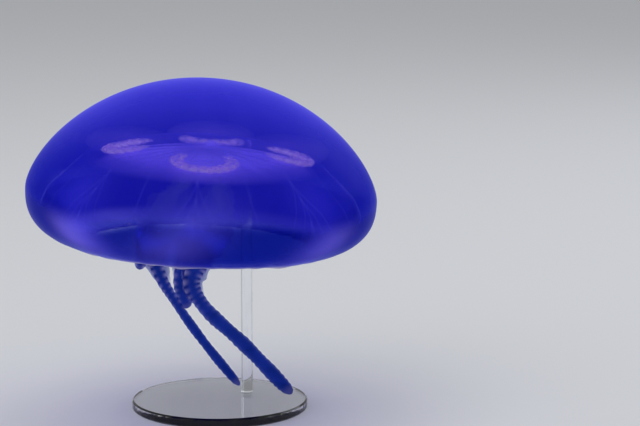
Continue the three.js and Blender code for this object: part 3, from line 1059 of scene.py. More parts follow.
class Finishes:
    """Every finish of the model, built once."""

    def __init__(self) -> None:
        """Builds the shared effects and the materials."""
        effects = Effects()
        self.bell = BellFinish(
            name="bell_jelly",
            deep=(0.004, 0.005, 0.32),
            pale=(0.078, 0.068, 0.7),
            tint=(0.68, 0.7, 0.97),
            front=Cover(0.36, 0.8),
            back=Cover(0.98, 0.99),
            edge_power=1.75,
            cloud=(22.0, 0.05),
            grain=(60.0, 0.00004),
            glow=0.6,
        ).build(effects)
        self.canal = MaskedFinish(
            name="canal_flesh",
            deep=(0.2, 0.18, 0.7),
            pale=(0.2, 0.18, 0.7),
            tint=(1.0, 1.0, 1.0),
            front=Cover(0.038, 0.01),
            back=Cover(0.12, 0.04),
            glow=0.6,
            shine=Shine.MOIST,
        ).build(effects)
        self.stomach = MaskedFinish(
            name="stomach_jelly",
            deep=(0.3, 0.19, 0.66),
            pale=(0.42, 0.28, 0.74),
            tint=(0.88, 0.86, 0.98),
            front=Cover(0.62, 0.0),
            back=Cover(0.62, 0.0),
            edge_power=3.0,
            cloud=(70.0, 0.35),
            glow=0.8,
            shine=Shine.SOFT,
            crest=(0.45, 0.3, 0.85),
        ).build(effects)
        # The pouches glow: painted light that lightens the shade round the gonads.
        self.pouch = JellyFinish(
            name="pouch_painted_glow",
            deep=(0.3, 0.2, 0.66),
            pale=(0.36, 0.25, 0.7),
            tint=(1.0, 1.0, 1.0),
            front=Cover(0.2, 0.0),
            back=Cover(0.2, 0.0),
            edge_power=0.5,
            cloud=(80.0, 0.3),
            glow=0.7,
            shine=Shine.SOFT,
        ).build(effects)
        self.gonad = MaskedFinish(
            name="gonad_flesh",
            deep=(0.58, 0.37, 0.48),
            pale=(0.75, 0.5, 0.54),
            tint=(0.9, 0.85, 1.0),
            front=Cover(0.95, 0.0),
            back=Cover(0.3, 0.0),
            edge_power=0.5,
            cloud=(160.0, 0.5),
            grain=(900.0, 0.0003),
            glow=0.8,
            shine=Shine.SOFT,
            crest=(0.88, 0.65, 0.6),
        ).build(effects)
        self.arm = MaskedFinish(
            name="arm_jelly",
            deep=(0.001, 0.006, 0.06),
            pale=(0.006, 0.015, 0.14),
            tint=(0.14, 0.22, 0.75),
            front=Cover(0.7, 0.9),
            back=Cover(0.4, 0.7),
            cloud=(120.0, 0.4),
            grain=(700.0, 0.0002),
            glow=1.6,
            shine=Shine.MOIST,
            crest=(0.78, 0.68, 1.0),
        ).build(effects)
        self.fringe = JellyFinish(
            name="fringe_flesh",
            deep=(0.1, 0.1, 0.4),
            pale=(0.2, 0.2, 0.5),
            tint=(0.7, 0.7, 0.95),
            front=Cover(0.5, 0.3),
            back=Cover(0.3, 0.2),
            glow=0.4,
            shine=Shine.MOIST,
        ).build(effects)
        self.organ = MaskedFinish(
            name="organ_flesh",
            deep=(0.5, 0.44, 0.5),
            pale=(0.6, 0.55, 0.6),
            tint=(0.9, 0.9, 1.0),
            front=Cover(0.95, 0.8),
            back=Cover(0.9, 0.8),
            glow=0.2,
            crest=(0.12, 0.03, 0.05),
        ).build(effects)
        self.acrylic = AcrylicFinish().build(effects)


# ---------------------------------------------------------------- sub-assemblies


def numbered(stem: str, count: int) -> list[str]:
    """The names of a row of nodes."""
    return [f"{stem}_{k}" for k in range(1, count + 1)]


def settle(made: Surface, name: str, finish: Material, slot: str, *nodes: str) -> None:
    """Makes a surface a piece that rides with the model.

    Args:
        made: the surface, in the model's frame.
        name: the piece's name.
        finish: its material.
        slot: the name of its slot; not used.
        nodes: the nodes it stands for, if any.
    """
    piece = made.piece(name, finish)
    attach(piece, "root")
    if nodes:
        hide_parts(*nodes)


@dataclass(frozen=True)
class Patch:
    """A stretch of the margin that differs from the rest.

    Attributes:
        azimuth: its middle, in degrees.
        width: its half width, in radians.
        strength: how far it differs.
    """

    azimuth: float
    width: float
    strength: float

    def near(self, azimuth: Array) -> Array:
        """The strength, times a bell curve of the angle from the middle."""
        return self.strength * hump(turned(azimuth, math.radians(self.azimuth)), self.width)


@dataclass(frozen=True)
class Bell:
    """The bell: one closed skin, outer face and lining, for the dome and its lappets.

    Attributes:
        crowding: powers that crowd the outer rows and the lining's rows towards the edge.
        ridge: height of the lining's fine ridges.
        dips: where the margin's painted shade starts lower, and by how much.
        crown: heights over which the pale crown, painted light from above, sets in.
        margin: drops over which the margin's painted shade sets in.
        margin_end: drops over which half of it is lost again.
        hem: drops over which the painted highlight on the lining next to the edge sets in.
        rim_highlight_share: how strong that painted highlight is.
        rim_highlight_patch: where it is stronger.
        roof: how pale the roof of the lining is.
        rim_width: how wide the pale rim is.
        band: drops over which the pale band next to the rim sets in, and band_power its power.
        thin: drops over which the far edge is thinned.
        streak_ring: the size of the ring that the streaks' noise lies on.
        streak_step: how far that ring rises to a millimetre of the profile.
    """

    outer_rows: int = 86
    lining_rows: int = 84
    columns: int = 384
    crowding: Pair = (1.15, 1.1)
    ridge: float = 0.16
    ridge_waves: tuple[int, ...] = (48, 64, 80)
    dips: tuple[Patch, ...] = (Patch(-36, 0.26, 8.2), Patch(47, 0.3, 4.5))
    crown: Pair = (8.0, 46.0)
    margin: Pair = (0.0, 5.4)
    margin_end: Pair = (21.5, 25.0)
    hem: Pair = (19.0, 24.0)
    rim_highlight_share: float = 0.28
    rim_highlight_patch: Patch = Patch(-130, 0.34, 0.85)
    roof: float = 0.24
    rim_width: float = 1.9
    band: Pair = (24.2, 27.6)
    band_power: float = 1.3
    thin: Pair = (24.5, 27.4)
    streak_ring: float = 9.0
    streak_step: float = 0.012

    def profile(self) -> tuple[Array, Array, Array]:
        """The profile from the crown down the outer face, round the edge and up the lining.

        Returns:
            (n, 1) radii, (n, 1) heights, and an (n, 1) mask of the lining that eases in round the edge.
        """
        outer_power, lining_power = self.crowding
        down = 1 - (1 - np.linspace(0, 1, self.outer_rows + 1)[1:]) ** outer_power
        up = np.linspace(0, 1, self.lining_rows + 1)[:-1] ** lining_power
        turn = BELL.edge_round()
        line = np.vstack([resampled(BELL.outside(), down), turn, resampled(BELL.lining(), up)])
        eases = np.linspace(0.1, 0.9, len(turn))
        lining = np.concatenate([np.zeros(len(down)), eases, np.ones(len(up))])
        return line[:, :1], line[:, 1:], lining[:, None]

    def masks(self, azimuth: Array, radius: Array, height: Array, lining: Array) -> dict[str, Array]:
        """What the bell's finish needs to know of each place.

        The rim is a bell curve of the distance from the edge. The ring goes once round a circle
        with the azimuth and rises along the profile, so that noise on it makes streaks.

        Args:
            azimuth: (1, columns) angles.
            radius: (n, 1) profile radii.
            height: (n, 1) profile heights.
            lining: (n, 1) mask of the lining.

        Returns:
            The masks lining, margin, hem, crown, fold, rim, thin and ring.
        """
        # Where the margin's painted shade starts lower.
        dips = sum(dip.near(azimuth) for dip in self.dips)
        # A painted highlight on the lining next to the edge, strongest towards the back left.
        hem = eased(-height, *self.hem) * lining * (self.rim_highlight_share + self.rim_highlight_patch.near(azimuth))
        roof = self.roof * eased(height, 15, 24) * (1 - eased(radius, 36, 58)) * lining
        low_middle = BELL.margin_thickness / 2 - BELL.margin_drop
        rim = hump(np.hypot(radius - BELL.margin_radius, height - low_middle), self.rim_width)
        band = eased(-height, *self.band) ** self.band_power
        steps = np.linalg.norm(np.diff(np.hstack([radius, height]), axis=0), axis=1)
        along = np.concatenate([[0], np.cumsum(steps)])[:, None]
        return {
            "lining": lining,
            "margin": eased(-height - dips, *self.margin) * (1 - 0.5 * eased(-height, *self.margin_end)),
            "hem": np.maximum(np.minimum(hem, 1), roof),
            # The crown mask carries the painted light from above.
            "crown": eased(height, *self.crown),
            "fold": BELL.fold(azimuth, height),
            "rim": np.maximum(rim, band) * (1 - lining),
            "thin": eased(-height, *self.thin),
            "ring": around(azimuth, self.streak_ring, along * self.streak_step) * np.array([1, -1, 1]),
        }

    def surface(self) -> Surface:
        """Turns the profile round the axis, with fine ridges on the lining.

        Returns:
            The skin in the bell's frame, with its masks. Both poles are closed by fans.
        """
        radius, height, lining = self.profile()
        azimuth = circle(self.columns)[None, :]
        ridges = ripple(azimuth, self.ridge_waves, 9) * lining
        ridges = ridges * eased(radius, 40, 66) * eased(height, -24, -10)
        rings = BELL.shaped(azimuth, radius + self.ridge * ridges, height)
        masks = self.masks(azimuth, radius, height, lining)
        size = rings.shape[:2]
        spread = {name: np.broadcast_to(v, (*size, *v.shape[2:]))[None] for name, v in masks.items()}
        return tubes(rings[None], spread)

    def build(self, finishes: Finishes) -> None:
        """Makes the skin and stands it for the dome and the lappets."""
        nodes = ["bell_dome", *numbered("lappet", BELL.lappets)]
        settle(BELL.leaned(self.surface()), "bell_skin", finishes.bell, "bell_jelly", *nodes)


@dataclass(frozen=True)
class Canals:
    """The fine canals in the jelly: sixteen from the stomach to a ring canal at the margin.

    Attributes:
        forks: where along a trunk each fork starts, and how many degrees it spreads.
        inset: how deep in the jelly they lie.
        start_radius: the radius where they leave the stomach.
        wall_top: the height under which all of the lining counts as wall.
        reach: how much of the lining the canals run down.
        ring_reach: how far down that the ring canal lies.
        taper: how thick they are at their start and end.
        flat: how wide and high they are for their size.
        ring_flat: how high the ring canal is for its size.
    """

    forks: tuple[Pair, ...] = ((0.1, 17.0), (0.28, 11.5), (0.48, 6.0))
    half_width: float = 0.42
    inset: float = 0.75
    start_radius: float = 56.0
    wall_top: float = 10.0
    reach: float = 0.975
    ring_reach: float = 0.995
    taper: Pair = (1.25, 0.7)
    flat: Pair = (1.3, 0.6)
    ring_flat: float = 0.7
    points: int = 44
    ring_points: int = 240
    sides: int = 6

    def on_lining(self, azimuth: Array, share: Array) -> Array:
        """Places just inside the jelly, on the lining's profile moved along its normal.

        Args:
            azimuth: angles round the axis.
            share: how far each is from the stomach to the margin.

        Returns:
            (..., 3) places in the bell's frame.
        """
        line = BELL.lining()[::-1]
        line = line[(line[:, 0] > self.start_radius) | (line[:, 1] < self.wall_top)]
        tangent = unit(np.gradient(line, axis=0))
        line = line + self.inset * np.stack([-tangent[:, 1], tangent[:, 0]], axis=1)
        radius, height = resampled(line, share.ravel() * self.reach).T
        return BELL.shaped(azimuth, radius.reshape(share.shape), height.reshape(share.shape))

    def routes(self) -> Array:
        """Every canal's route: a plain one between the systems, and in each system a trunk with forks.

        A fork's azimuth leaves the trunk's at its start and eases out to its own offset, and every
        canal wanders a little by a sine of the place along it.

        Returns:
            (canals, points, 3) places in the bell's frame.
        """
        branches = []
        for middle in (system * BELL.octant for system in range(BELL.lappets)):
            branches += [(0.0, middle, 0.0), (0.0, middle + BELL.octant / 2, 0.0)]
            for start, spread in self.forks:
                branches += [(start, middle, side * math.radians(spread)) for side in (1, -1)]
        start, centre, offset = np.transpose(branches)[:, :, None]
        share = start + (1 - start) * np.linspace(0, 1, self.points)[None, :]
        spread = eased((share - start) / (1 - start), 0, 1.15) ** 0.75
        wander = 0.008 * np.sin(9 * share + 7 * centre + 60 * offset) * np.sin(math.pi * share)
        return self.on_lining(centre + offset * spread + wander, share)

    def tubed(self, routes: Array, size: Array, wide: float, high: float) -> Surface:
        """Flattened tubes along routes, with the masks of a canal.

        Args:
            routes: (tubes, rings, 3) centres.
            size: (tubes, rings) half widths.
            wide: how wide the tubes are for their size.
            high: how high they are for it.

        Returns:
            One surface with the masks veil and crest.
        """
        rings = round_tubes(routes, unit(routes * LEVEL), size * wide, size * high, self.sides)
        shape = rings.shape[:3]
        return tubes(rings, {"veil": np.full(shape, 0.6), "crest": np.zeros(shape)})

    def build(self, finishes: Finishes) -> None:
        """Makes every canal as one piece.

        Args:
            finishes: the model's finishes.
        """
        routes = self.routes()
        size = self.half_width * np.linspace(*self.taper, self.points)[None, :] * np.ones((len(routes), 1))
        branches = self.tubed(routes, size, *self.flat)
        azimuth = np.linspace(0, FULL_TURN, self.ring_points)[None, :]
        loop = self.on_lining(azimuth, np.full(azimuth.shape, self.ring_reach))
        ring = self.tubed(loop, np.full(azimuth.shape, self.half_width), 1.0, self.ring_flat)
        made = BELL.leaned(Surface.joined([branches, ring]))
        settle(made, "radial_canals", finishes.canal, "bell_jelly")


@dataclass(frozen=True)
class Stomach:
    """The stomach's floor: a thin disc with a cross of folds and a dimple under each gonad.

    Attributes:
        radius: the floor's.
        edge_height: the height of its edge.
        roof_limit: radius past which the roof's height is taken as level.
        slope: radius past which it leaves the roof's shape for its edge.
        cross: height of the four broad folds.
        fine: height of the fine folds.
        pit: depth of the dimples, and pit_width how wide they are.
        gonad_glow_width: how wide the painted glow under each gonad is.
    """

    radius: float = 61.6
    edge_height: float = 13.9
    thickness: float = 1.5
    roof_limit: float = 58.0
    slope: float = 48.0
    cross: float = 0.45
    fine: float = 0.25
    fine_waves: tuple[int, ...] = (16, 22, 28)
    pit: float = 1.8
    pit_width: float = 4.2
    gonad_glow_width: float = 19.0
    rows: int = 52
    columns: int = 192

    def surface(self) -> Surface:
        """Turns a thin profile round the axis.

        The height is that of the roof less the pocket's depth, eased down to the edge. It gains four
        broad folds, a cosine of four times the azimuth that fades at the middle and the edge, and a
        bell-curve dimple under each gonad. The veil fades from the middle to the edge.

        Returns:
            The floor in the bell's frame, with the masks veil and crest.
        """
        radius = np.linspace(0, self.radius, self.rows)[1:, None]
        azimuth = circle(self.columns)[None, :]
        level = BELL.roof(np.minimum(radius, self.roof_limit)) - POCKET_DEPTH
        last = eased(radius, self.slope, self.radius)
        level = level * (1 - last) + self.edge_height * last
        span = np.sin(math.pi * np.clip(radius / self.radius, 0, 1)) ** 2
        fine = self.fine * ripple(azimuth, self.fine_waves, 11)
        level = level + span * (self.cross * np.cos(4 * azimuth) + fine)
        flat = around(azimuth, radius, 0.0)
        away = [np.linalg.norm(flat - GONADS.centre(middle), axis=-1) for middle in GONADS.azimuths]
        # The haze under each gonad is painted glow, which pales the floor and thickens it there.
        pits, haze = (sum(hump(far, width) for far in away) for width in (self.pit_width, self.gonad_glow_width))
        level = level + self.pit * pits - self.thickness / 2
        half = self.thickness / 2 * np.sqrt(np.clip(1 - (radius / self.radius) ** 8, 0, 1))
        under, over = (flat + UP * (level - side * half)[..., None] for side in (1, -1))
        veil = (1 - eased(radius, 32, self.radius)) * (0.7 + 0.3 * eased(radius, 8, 26)) + 0.25 * haze
        veil = np.clip(veil, 0, 1) * (1 - eased(radius, 54, self.radius))
        crest = np.clip(0.5 * span * np.cos(4 * azimuth) ** 2 + 0.45 * haze - 0.4 * pits, 0, 1)
        masks = {"veil": veil, "crest": crest}
        doubled = {name: np.concatenate([v, v[-2::-1]])[None] for name, v in masks.items()}
        return tubes(np.concatenate([over, under[-2::-1]])[None], doubled)

    def build(self, finishes: Finishes) -> None:
        """Makes the floor and stands it for its node."""
        made = BELL.leaned(self.surface())
        settle(made, "stomach_floor", finishes.stomach, "stomach_jelly", "stomach")


@dataclass(frozen=True)
class GastricPouches:
    """The four pouches that the gonads lie in: flat ovals that fade at their edges, with a painted glow that
    lightens the shade around the gonads.
    """

    wide: float = 23.0
    high: float = 8.5
    below_roof: float = 1.5
    uneven: float = 0.05
    rows: int = 36
    columns: int = 72

    def surface(self) -> Surface:
        """Four ellipsoids of rings between two poles, whose radius gains a slow ripple.

        Returns:
            The ovals in the bell's frame.
        """
        level = np.linspace(-0.99, 0.99, self.rows)[:, None]
        a = circle(self.columns)[None, :]
        reach = self.wide * np.sqrt(1 - level**2) * (1 + self.uneven * ripple(a, (2, 3, 5), 31))
        oval = around(a, reach, self.high * level)
        middle = float(BELL.roof(np.array([GONADS.reach]))[0]) - self.below_roof
        centres = np.array([GONADS.centre(azimuth, middle) for azimuth in GONADS.azimuths])
        return tubes(centres[:, None, None] + oval[None])

    def build(self, finishes: Finishes) -> None:
        """Makes the four ovals as one piece."""
        settle(BELL.leaned(self.surface()), "gastric_pouches", finishes.pouch, "stomach_jelly")


@dataclass(frozen=True)
class Gonads:
    """The four gonads: ruffled horseshoe bands whose open side faces the stomach's middle.

    Attributes:
        sway: how far the route wavers, in two sizes of wave.
        sway_waves: how many of each there are.
        gap: room left under the roof.
        tail: how much thinner the ends are.
        fold_waves: how many coarse and fine folds there are along the band.
        body: how full the band is.
        fold: how far the folds swell it.
        flat: how high it is for its thickness.
        back_strength: how much of the others' flesh the back gonad has.
    """

    rings: int = 300
    sides: int = 36
    sway: Pair = (0.8, 0.35)
    sway_waves: tuple[int, int] = (13, 29)
    gap: float = 0.4
    tail: float = 0.35
    fold_waves: tuple[int, int] = (26, 41)
    body: float = 0.84
    fold: float = 0.1
    flat: float = 0.86
    back_strength: float = 0.42

    def surface(self, azimuth: float) -> Surface:
        """Carries a ruffled oval along a horseshoe.

        The route is an ellipse from one side of its opening to the other, at the roof's height less
        half a gonad. The oval's size swells with two sines of the place along the route and the
        angle round it, which fold it like a frill, and eases to nothing at both ends.

        Args:
            azimuth: where the gonad lies.

        Returns:
            The gonad in the bell's frame, with the masks veil and crest.
        """
        s = np.linspace(0, 1, self.rings)
        turn = (2 * s - 1) * (math.pi - GONADS.opening)
        forward = around(np.array(azimuth), 1.0, 0.0)
        aside = around(np.array(azimuth + QUARTER_TURN), 1.0, 0.0)
        (slow, fast), (slow_waves, fast_waves) = self.sway, self.sway_waves
        sway = slow * np.sin(FULL_TURN * slow_waves * s + azimuth) + fast * np.sin(FULL_TURN * fast_waves * s)
        out = forward * (np.cos(turn) * (GONADS.long + sway))[:, None]
        out = out + aside * (np.sin(turn) * (GONADS.wide + sway))[:, None]
        route = GONADS.centre(azimuth) + out
        route[:, 2] = BELL.roof(np.hypot(route[:, 0], route[:, 1])) - self.gap - GONADS.thickness / 2
        from_middle = np.abs(2 * s - 1)
        taper = np.sqrt(np.clip(1 - from_middle**10, 0, 1)) * (1 - self.tail * from_middle**6)
        a, place = circle(self.sides)[None, :], FULL_TURN * s[:, None]
        coarse, fine = self.fold_waves
        folds = np.sin(coarse * place + 2.5 * np.cos(a) + azimuth) + 0.6 * np.sin(fine * place + 2 * a)
        wide, high = GONADS.half_width * taper[None], GONADS.thickness / 2 * self.flat * taper[None]
        oval = round_tubes(route[None], UP, wide, high, self.sides) - route[None, :, None]
        rings = route[None, :, None] + oval * (self.body + self.fold * folds)[None, :, :, None]
        crest = np.clip(0.5 + 0.5 * folds, 0, 1) ** 2 * 0.6
        strength = self.back_strength if math.cos(azimuth) < -0.5 else 1.0
        veil = strength * (0.55 + 0.45 * np.cos(turn / 1.7) ** 2)[:, None] * np.ones_like(folds)
        return tubes(rings, {"veil": veil[None], "crest": crest[None]})

    def build(self, finishes: Finishes) -> None:
        """Makes each gonad and stands it for its node.

        Args:
            finishes: the model's finishes.
        """
        for k, azimuth in enumerate(GONADS.azimuths, 1):
            made = BELL.leaned(self.surface(azimuth))
            settle(made, f"gonad_band_{k}", finishes.gonad, "gonad", f"gonad_{k}")


@dataclass(frozen=True)
class ArmRoute:
    """One mouth arm.

    Attributes:
        corner: its corner of the mouth, as signs of x and y.
        route: the points it passes, from the widest ring's centre.
        lengths: how many nodes it has.
        tail_width: half its width in the tail.
        waves: how many slow half waves it has.
    """

    corner: tuple[int, int]
    route: tuple[Place, ...]
    lengths: int
    tail_width: float
    waves: int


class ArmPlace(Enum):
    """The four mouth arms."""

    FRONT_LEFT = ArmRoute(
        (-1, -1),
        (
            (-16, -12, -4), (-25.3, -12.5, -21), (-22, -11, -39.5),
            (-13.5, -9, -56), (0.5, -7, -77), (18.8, -4, -101),
        ),
        3, 2.4, 11,
    )
    FRONT_RIGHT = ArmRoute(
        (1, -1),
        (
            (11.5, -9.5, -4), (11, -9.5, -17), (0, -8.5, -33), (-5.3, -7.7, -46),
            (0.5, -6.8, -58), (22.5, -5, -80), (46, -2, -106),
        ),
        4, 3.6, 13,
    )
    BACK_LEFT = ArmRoute((-1, 1), ((-17, 11, -4), (-30, 12, -21), (-33.3, 7, -42)), 2, 3.0, 7)
    BACK_RIGHT = ArmRoute(
        (1, 1), ((5, 11, -7), (-5.5, 11.5, -27), (-12, 7.8, -47), (-8.6, 4, -62)), 2, 3.8, 9
    )


@dataclass(frozen=True)
class MouthTube:
    """The short tube under the stomach, drawn out at four corners, with a frilled lip.

    Attributes:
        head: radius where it meets the stomach, at head_level.
        neck: radius below that.
        waist: radius at its narrowest.
        lip: radius of the lip.
        opening: radius of the mouth.
        depth: how far up the mouth goes.
        corner: how far the corners are drawn out.
        frill: how far the lip's fine ripple goes, as a share of the radius.
    """

    head: float = 14.0
    neck: float = 11.0
    waist: float = 9.0
    lip: float = 11.0
    opening: float = 6.5
    depth: float = 6.0
    length: float = 13.6
    corner: float = 0.2
    frill: float = 0.05
    head_level: float = 21.7
    rows: int = 60
    columns: int = 144

    def profile(self) -> Array:
        """A smooth line down the outside, round the lip and up the mouth.

        Returns:
            (rows, 2) radii and heights.
        """
        top, end = self.head_level, self.head_level - self.length
        points = np.array([
            [0.6, top], [self.head * 0.6, top - 0.4], [self.head, top - 1.4], [self.neck, top - 4.6],
            [self.waist, top - 8.4], [self.lip - 1, end + 1.2], [self.lip, end], [self.lip - 1.8, end - 0.6],
            [self.opening, end + 0.4], [self.opening * 0.6, end + self.depth * 0.8], [0.4, end + self.depth],
        ])
        return resampled(smooth_route(points, 40), np.linspace(0, 1, self.rows))

    def surface(self) -> Surface:
        """Turns the profile round the axis.

        The radius is multiplied by 1 - corner * cos(4 * azimuth), and the lip gains a fine ripple.

        Returns:
            The tube in the bell's frame, with the masks veil and crest.
        """
        radius, height = self.profile().T[:, :, None]
        azimuth = circle(self.columns)[None, :]
        near_lip = hump(height - (self.head_level - self.length), 2.5) * eased(radius, 4, 9)
        frill = self.frill * near_lip * ripple(azimuth, (20, 28, 36), 21)
        places = around(azimuth, radius * (1 - self.corner * np.cos(4 * azimuth) + frill), height)
        crest = 0.05 + 0.03 * near_lip * np.cos(28 * azimuth)
        return tubes(places[None], {"veil": np.full(places.shape[:2], 0.3)[None], "crest": crest[None]})


@dataclass(frozen=True)
class MouthAndArms:
    """The mouth tube and its four frilled arms, as one skin.

    Attributes:
        root_reach: how far out each arm starts.
        root_drop: how far under the lip it starts.
        root_width: half the width of an arm at its root.
        thickness: an arm's thickness at its root and in its tail.
        broad: shares of an arm over which its width changes.
        turn: shares over which it turns to face the front.
        fold: how deep its gutter is.
        wave: how far its slow waves go.
        tip_share: share of its length that the round tip takes.
        frill_length: length of one frill.
        frill_rows: rows to one frill.
        calm: how much smaller the frills are in the tail, and calm_span where that sets in.
        beats: frills to a beat of their size, and of their length.
        sharpness: how close to the edge the frills stay.
        flare: how far they widen the arm.
        curtain_width: width of the curtains that hang from the upper part.
        pale_at: drops over which the flesh pales, and heights over which that ends again.
        dense_at: drops over which it becomes dense.
    """

    tube: MouthTube = MouthTube()
    root_reach: float = 7.387
    root_drop: float = 3.2
    root_width: float = 5.5
    thickness: Pair = (1.8, 2.6)
    broad: Pair = (0.2, 0.55)
    turn: Pair = (0.05, 0.4)
    fold: float = 0.35
    wave: float = 0.28
    tip_share: float = 0.06
    frill_length: float = 3.4
    frill_rows: int = 11
    calm: float = 0.62
    calm_span: Pair = (0.25, 0.62)
    beats: Pair = (4.7, 6.3)
    sharpness: float = 2.5
    flare: float = 0.05
    columns: int = 22
    curtain_width: float = 7.5
    curtain_size: tuple[int, int] = (140, 14)
    pale_at: tuple[Pair, Pair] = ((18.0, 24.0), (-31.0, -24.0))
    dense_at: Pair = (14.0, 26.0)

    def centre_line(self, arm: ArmRoute) -> Array:
        """The arm's route as a dense line, from just under its corner of the mouth.

        Args:
            arm: the arm.

        Returns:
            (n, 3) points in the upright frame.
        """
        x, y = (sign * self.root_reach for sign in arm.corner)
        root = BELL.placed(np.array([x, y, self.tube.head_level - self.tube.length]))
        root = root - UP * (BELL.widest_level + self.root_drop)
        return smooth_route(np.vstack([root, np.array(arm.route, float)]))

    def arm_frame(self, arm: ArmRoute, share: Array) -> tuple[Array, Array, Array]:
        """Centre, across and normal at shares of an arm's length.

        Across turns from square to the mouth's radius at the root to square to the front in the tail.

        Args:
            arm: the arm.
            share: places along it.

        Returns:
            Three (n, 3) arrays.
        """
        line, step = self.centre_line(arm), 0.004
        ahead, behind = np.minimum(share + step, 1), np.maximum(share - step, 0)
        along = unit(resampled(line, ahead) - resampled(line, behind))
        at_root = unit(np.array([-arm.corner[1], arm.corner[0], 0.0]))
        in_tail = unit(np.cross(np.array([0, -1.0, 0]), along))
        in_tail = in_tail * np.where((in_tail @ at_root)[:, None] < 0, -1, 1)
        turned_by = eased(share, *self.turn)[:, None]
        across = at_root * (1 - turned_by) + in_tail * turned_by
        across = unit(across - along * np.sum(across * along, axis=1, keepdims=True))
        return resampled(line, share), across, np.cross(along, across)

    def pale(self, places: Array) -> Array:
        """How pale the flesh is: little at the root, most in the bell's mouth and nothing below it."""
        drops, end = self.pale_at
        return (0.12 + 0.5 * eased(-places[:, 2], *drops))[:, None] * eased(places[:, 2], *end)[:, None]

    def density(self, places: Array) -> Array:
        """How dense the flesh is by its height: thin at the root, full below the bell."""
        return (0.16 + 0.84 * eased(-places[:, 2], *self.dense_at))[:, None]

    def half_width(self, arm: ArmRoute, share: Array) -> Array:
        """Half the arm's width: wide at the root, narrow in the tail, round at the tip.

        Args:
            arm: the arm.
            share: places along it.

        Returns:
            (n, 1) half widths.
        """
        body = self.root_width + (arm.tail_width - self.root_width) * eased(share, *self.broad)
        from_tip = np.minimum((1 - share) / self.tip_share, 1)
        return (body * np.sqrt(np.clip(1 - (1 - from_tip) ** 2, 0.02, 1)))[:, None]

    def arm(self, arm: ArmRoute) -> Surface:
        """Carries a gutter-shaped section along the arm, with frilled edges.

        Across the section u runs from -1 to 1. The middle is lifted by fold * u^2, by a slow wave
        of u * |u| and by frills: |u| to a power, times a sine of the place along, whose size and
        length beat slowly. The thickness thins from the middle to the edges.

        Args:
            arm: the arm.

        Returns:
            The arm in the upright frame, with the masks veil and crest.
        """
        reach = float(np.linalg.norm(np.diff(self.centre_line(arm), axis=0), axis=1).sum())
        frills = reach / self.frill_length
        share = np.linspace(0, 1, int(frills * self.frill_rows))
        centre, across, normal = self.arm_frame(arm, share)
        half, s = self.half_width(arm, share), share[:, None]
        root, tail = self.thickness
        body = root + (tail - root) * eased(s, 0.2, 0.6)
        body = body * (1 - eased(s, 1 - self.tip_share, 1 + self.tip_share))
        u = np.cos(np.linspace(math.pi, 0, self.columns))[None, :]
        lively = 1.0 - self.calm * eased(s, *self.calm_span)
        size_beat, length_beat = (FULL_TURN * frills / beat * s for beat in self.beats)
        beat = 0.75 + 0.25 * np.sin(size_beat + 2)
        sweep = FULL_TURN * frills * s + 1.1 * np.sin(length_beat) + 0.9 * u
        edge = np.abs(u) ** self.sharpness
        frill = lively * beat * edge * np.sin(sweep) * np.minimum(half / 3.6, 1)
        flare = 1 + self.flare * beat * np.abs(u) * np.sin(sweep + 1.2)
        slow = self.wave * half * np.sin(math.pi * arm.waves * s) * u * np.abs(u)
        lift = self.fold * half * u * u + slow + frill
        middle = centre[:, None] + across[:, None] * (u * half * flare)[..., None]
        middle = middle + normal[:, None] * lift[..., None]
        thick = body / 2 * (1 - 0.74 * u * u) * np.sqrt(np.clip(1 - u**16, 0.05, 1))
        ridge = 1 + 0.1 * np.sin(FULL_TURN * frills * 0.7 * s + 3) * (1 - u * u)
        level = centre[:, 2:]
        beads = (0.5 + 0.5 * np.sin(sweep)) * edge * eased(level, -70, -40) * eased(-level, 24, 34)
        crest = np.clip(0.2 * beads + 0.03 * eased(s, 0.95, 0.99) + self.pale(centre), 0, 1)
        veil = (1 - 0.45 * np.abs(u) ** 3) * self.density(centre)
        return sheet(middle, normal[:, None], thick * ridge, {"veil": veil, "crest": crest})

    def curtain(self, arm: ArmRoute, side: int, reach: float, seed: int) -> Surface:
        """A thin wavy membrane that hangs from one edge of an arm's upper part.

        Its root follows the arm's edge. It stands out along the normal by a width that swells and
        fades along the arm, with deep slow folds and a fine hem.

        Args:
            arm: the arm.
            side: -1 or 1, the edge it hangs from.
            reach: the share of the arm that it covers.
            seed: sets its folds.

        Returns:
            The membrane in the upright frame, with the masks veil and crest.
        """
        rows, columns = self.curtain_size
        share = np.linspace(0.02, reach, rows)
        centre, across, normal = self.arm_frame(arm, share)
        half = self.half_width(arm, share)
        t, w = np.linspace(0, 1, rows)[:, None], np.linspace(0, 1, columns)[None, :]
        width = self.curtain_width * np.sin(math.pi * t**0.8) ** 0.7 + 0.3
        phase = seed * 1.7
        deep = np.sin(FULL_TURN * 3.5 * t + phase) + 0.4 * np.sin(FULL_TURN * 8 * t + 2 * phase)
        hem = np.sin(FULL_TURN * 14 * t + phase + 2 * w)
        out = side * (half * 0.7 + w * width * (0.62 + 0.1 * deep))
        lift = -w * width * 0.7 + (1.5 * deep + 0.6 * hem * w) * w
        middle = centre[:, None] + across[:, None] * out[..., None] + normal[:, None] * lift[..., None]
        ahead, wide = (unit(np.gradient(middle, axis=axis)) for axis in (0, 1))
        thick = (0.34 - 0.2 * w) * np.ones_like(t)
        veil = (0.6 - 0.3 * w) * eased(t, 0, 0.06) * (1 - eased(t, 0.85, 1)) * self.density(centre)
        crest = np.clip(self.pale(centre) + 0.08 * w**2 * (0.5 + 0.5 * hem), 0, 1)
        return sheet(middle, unit(np.cross(ahead, wide)), thick, {"veil": veil, "crest": crest})

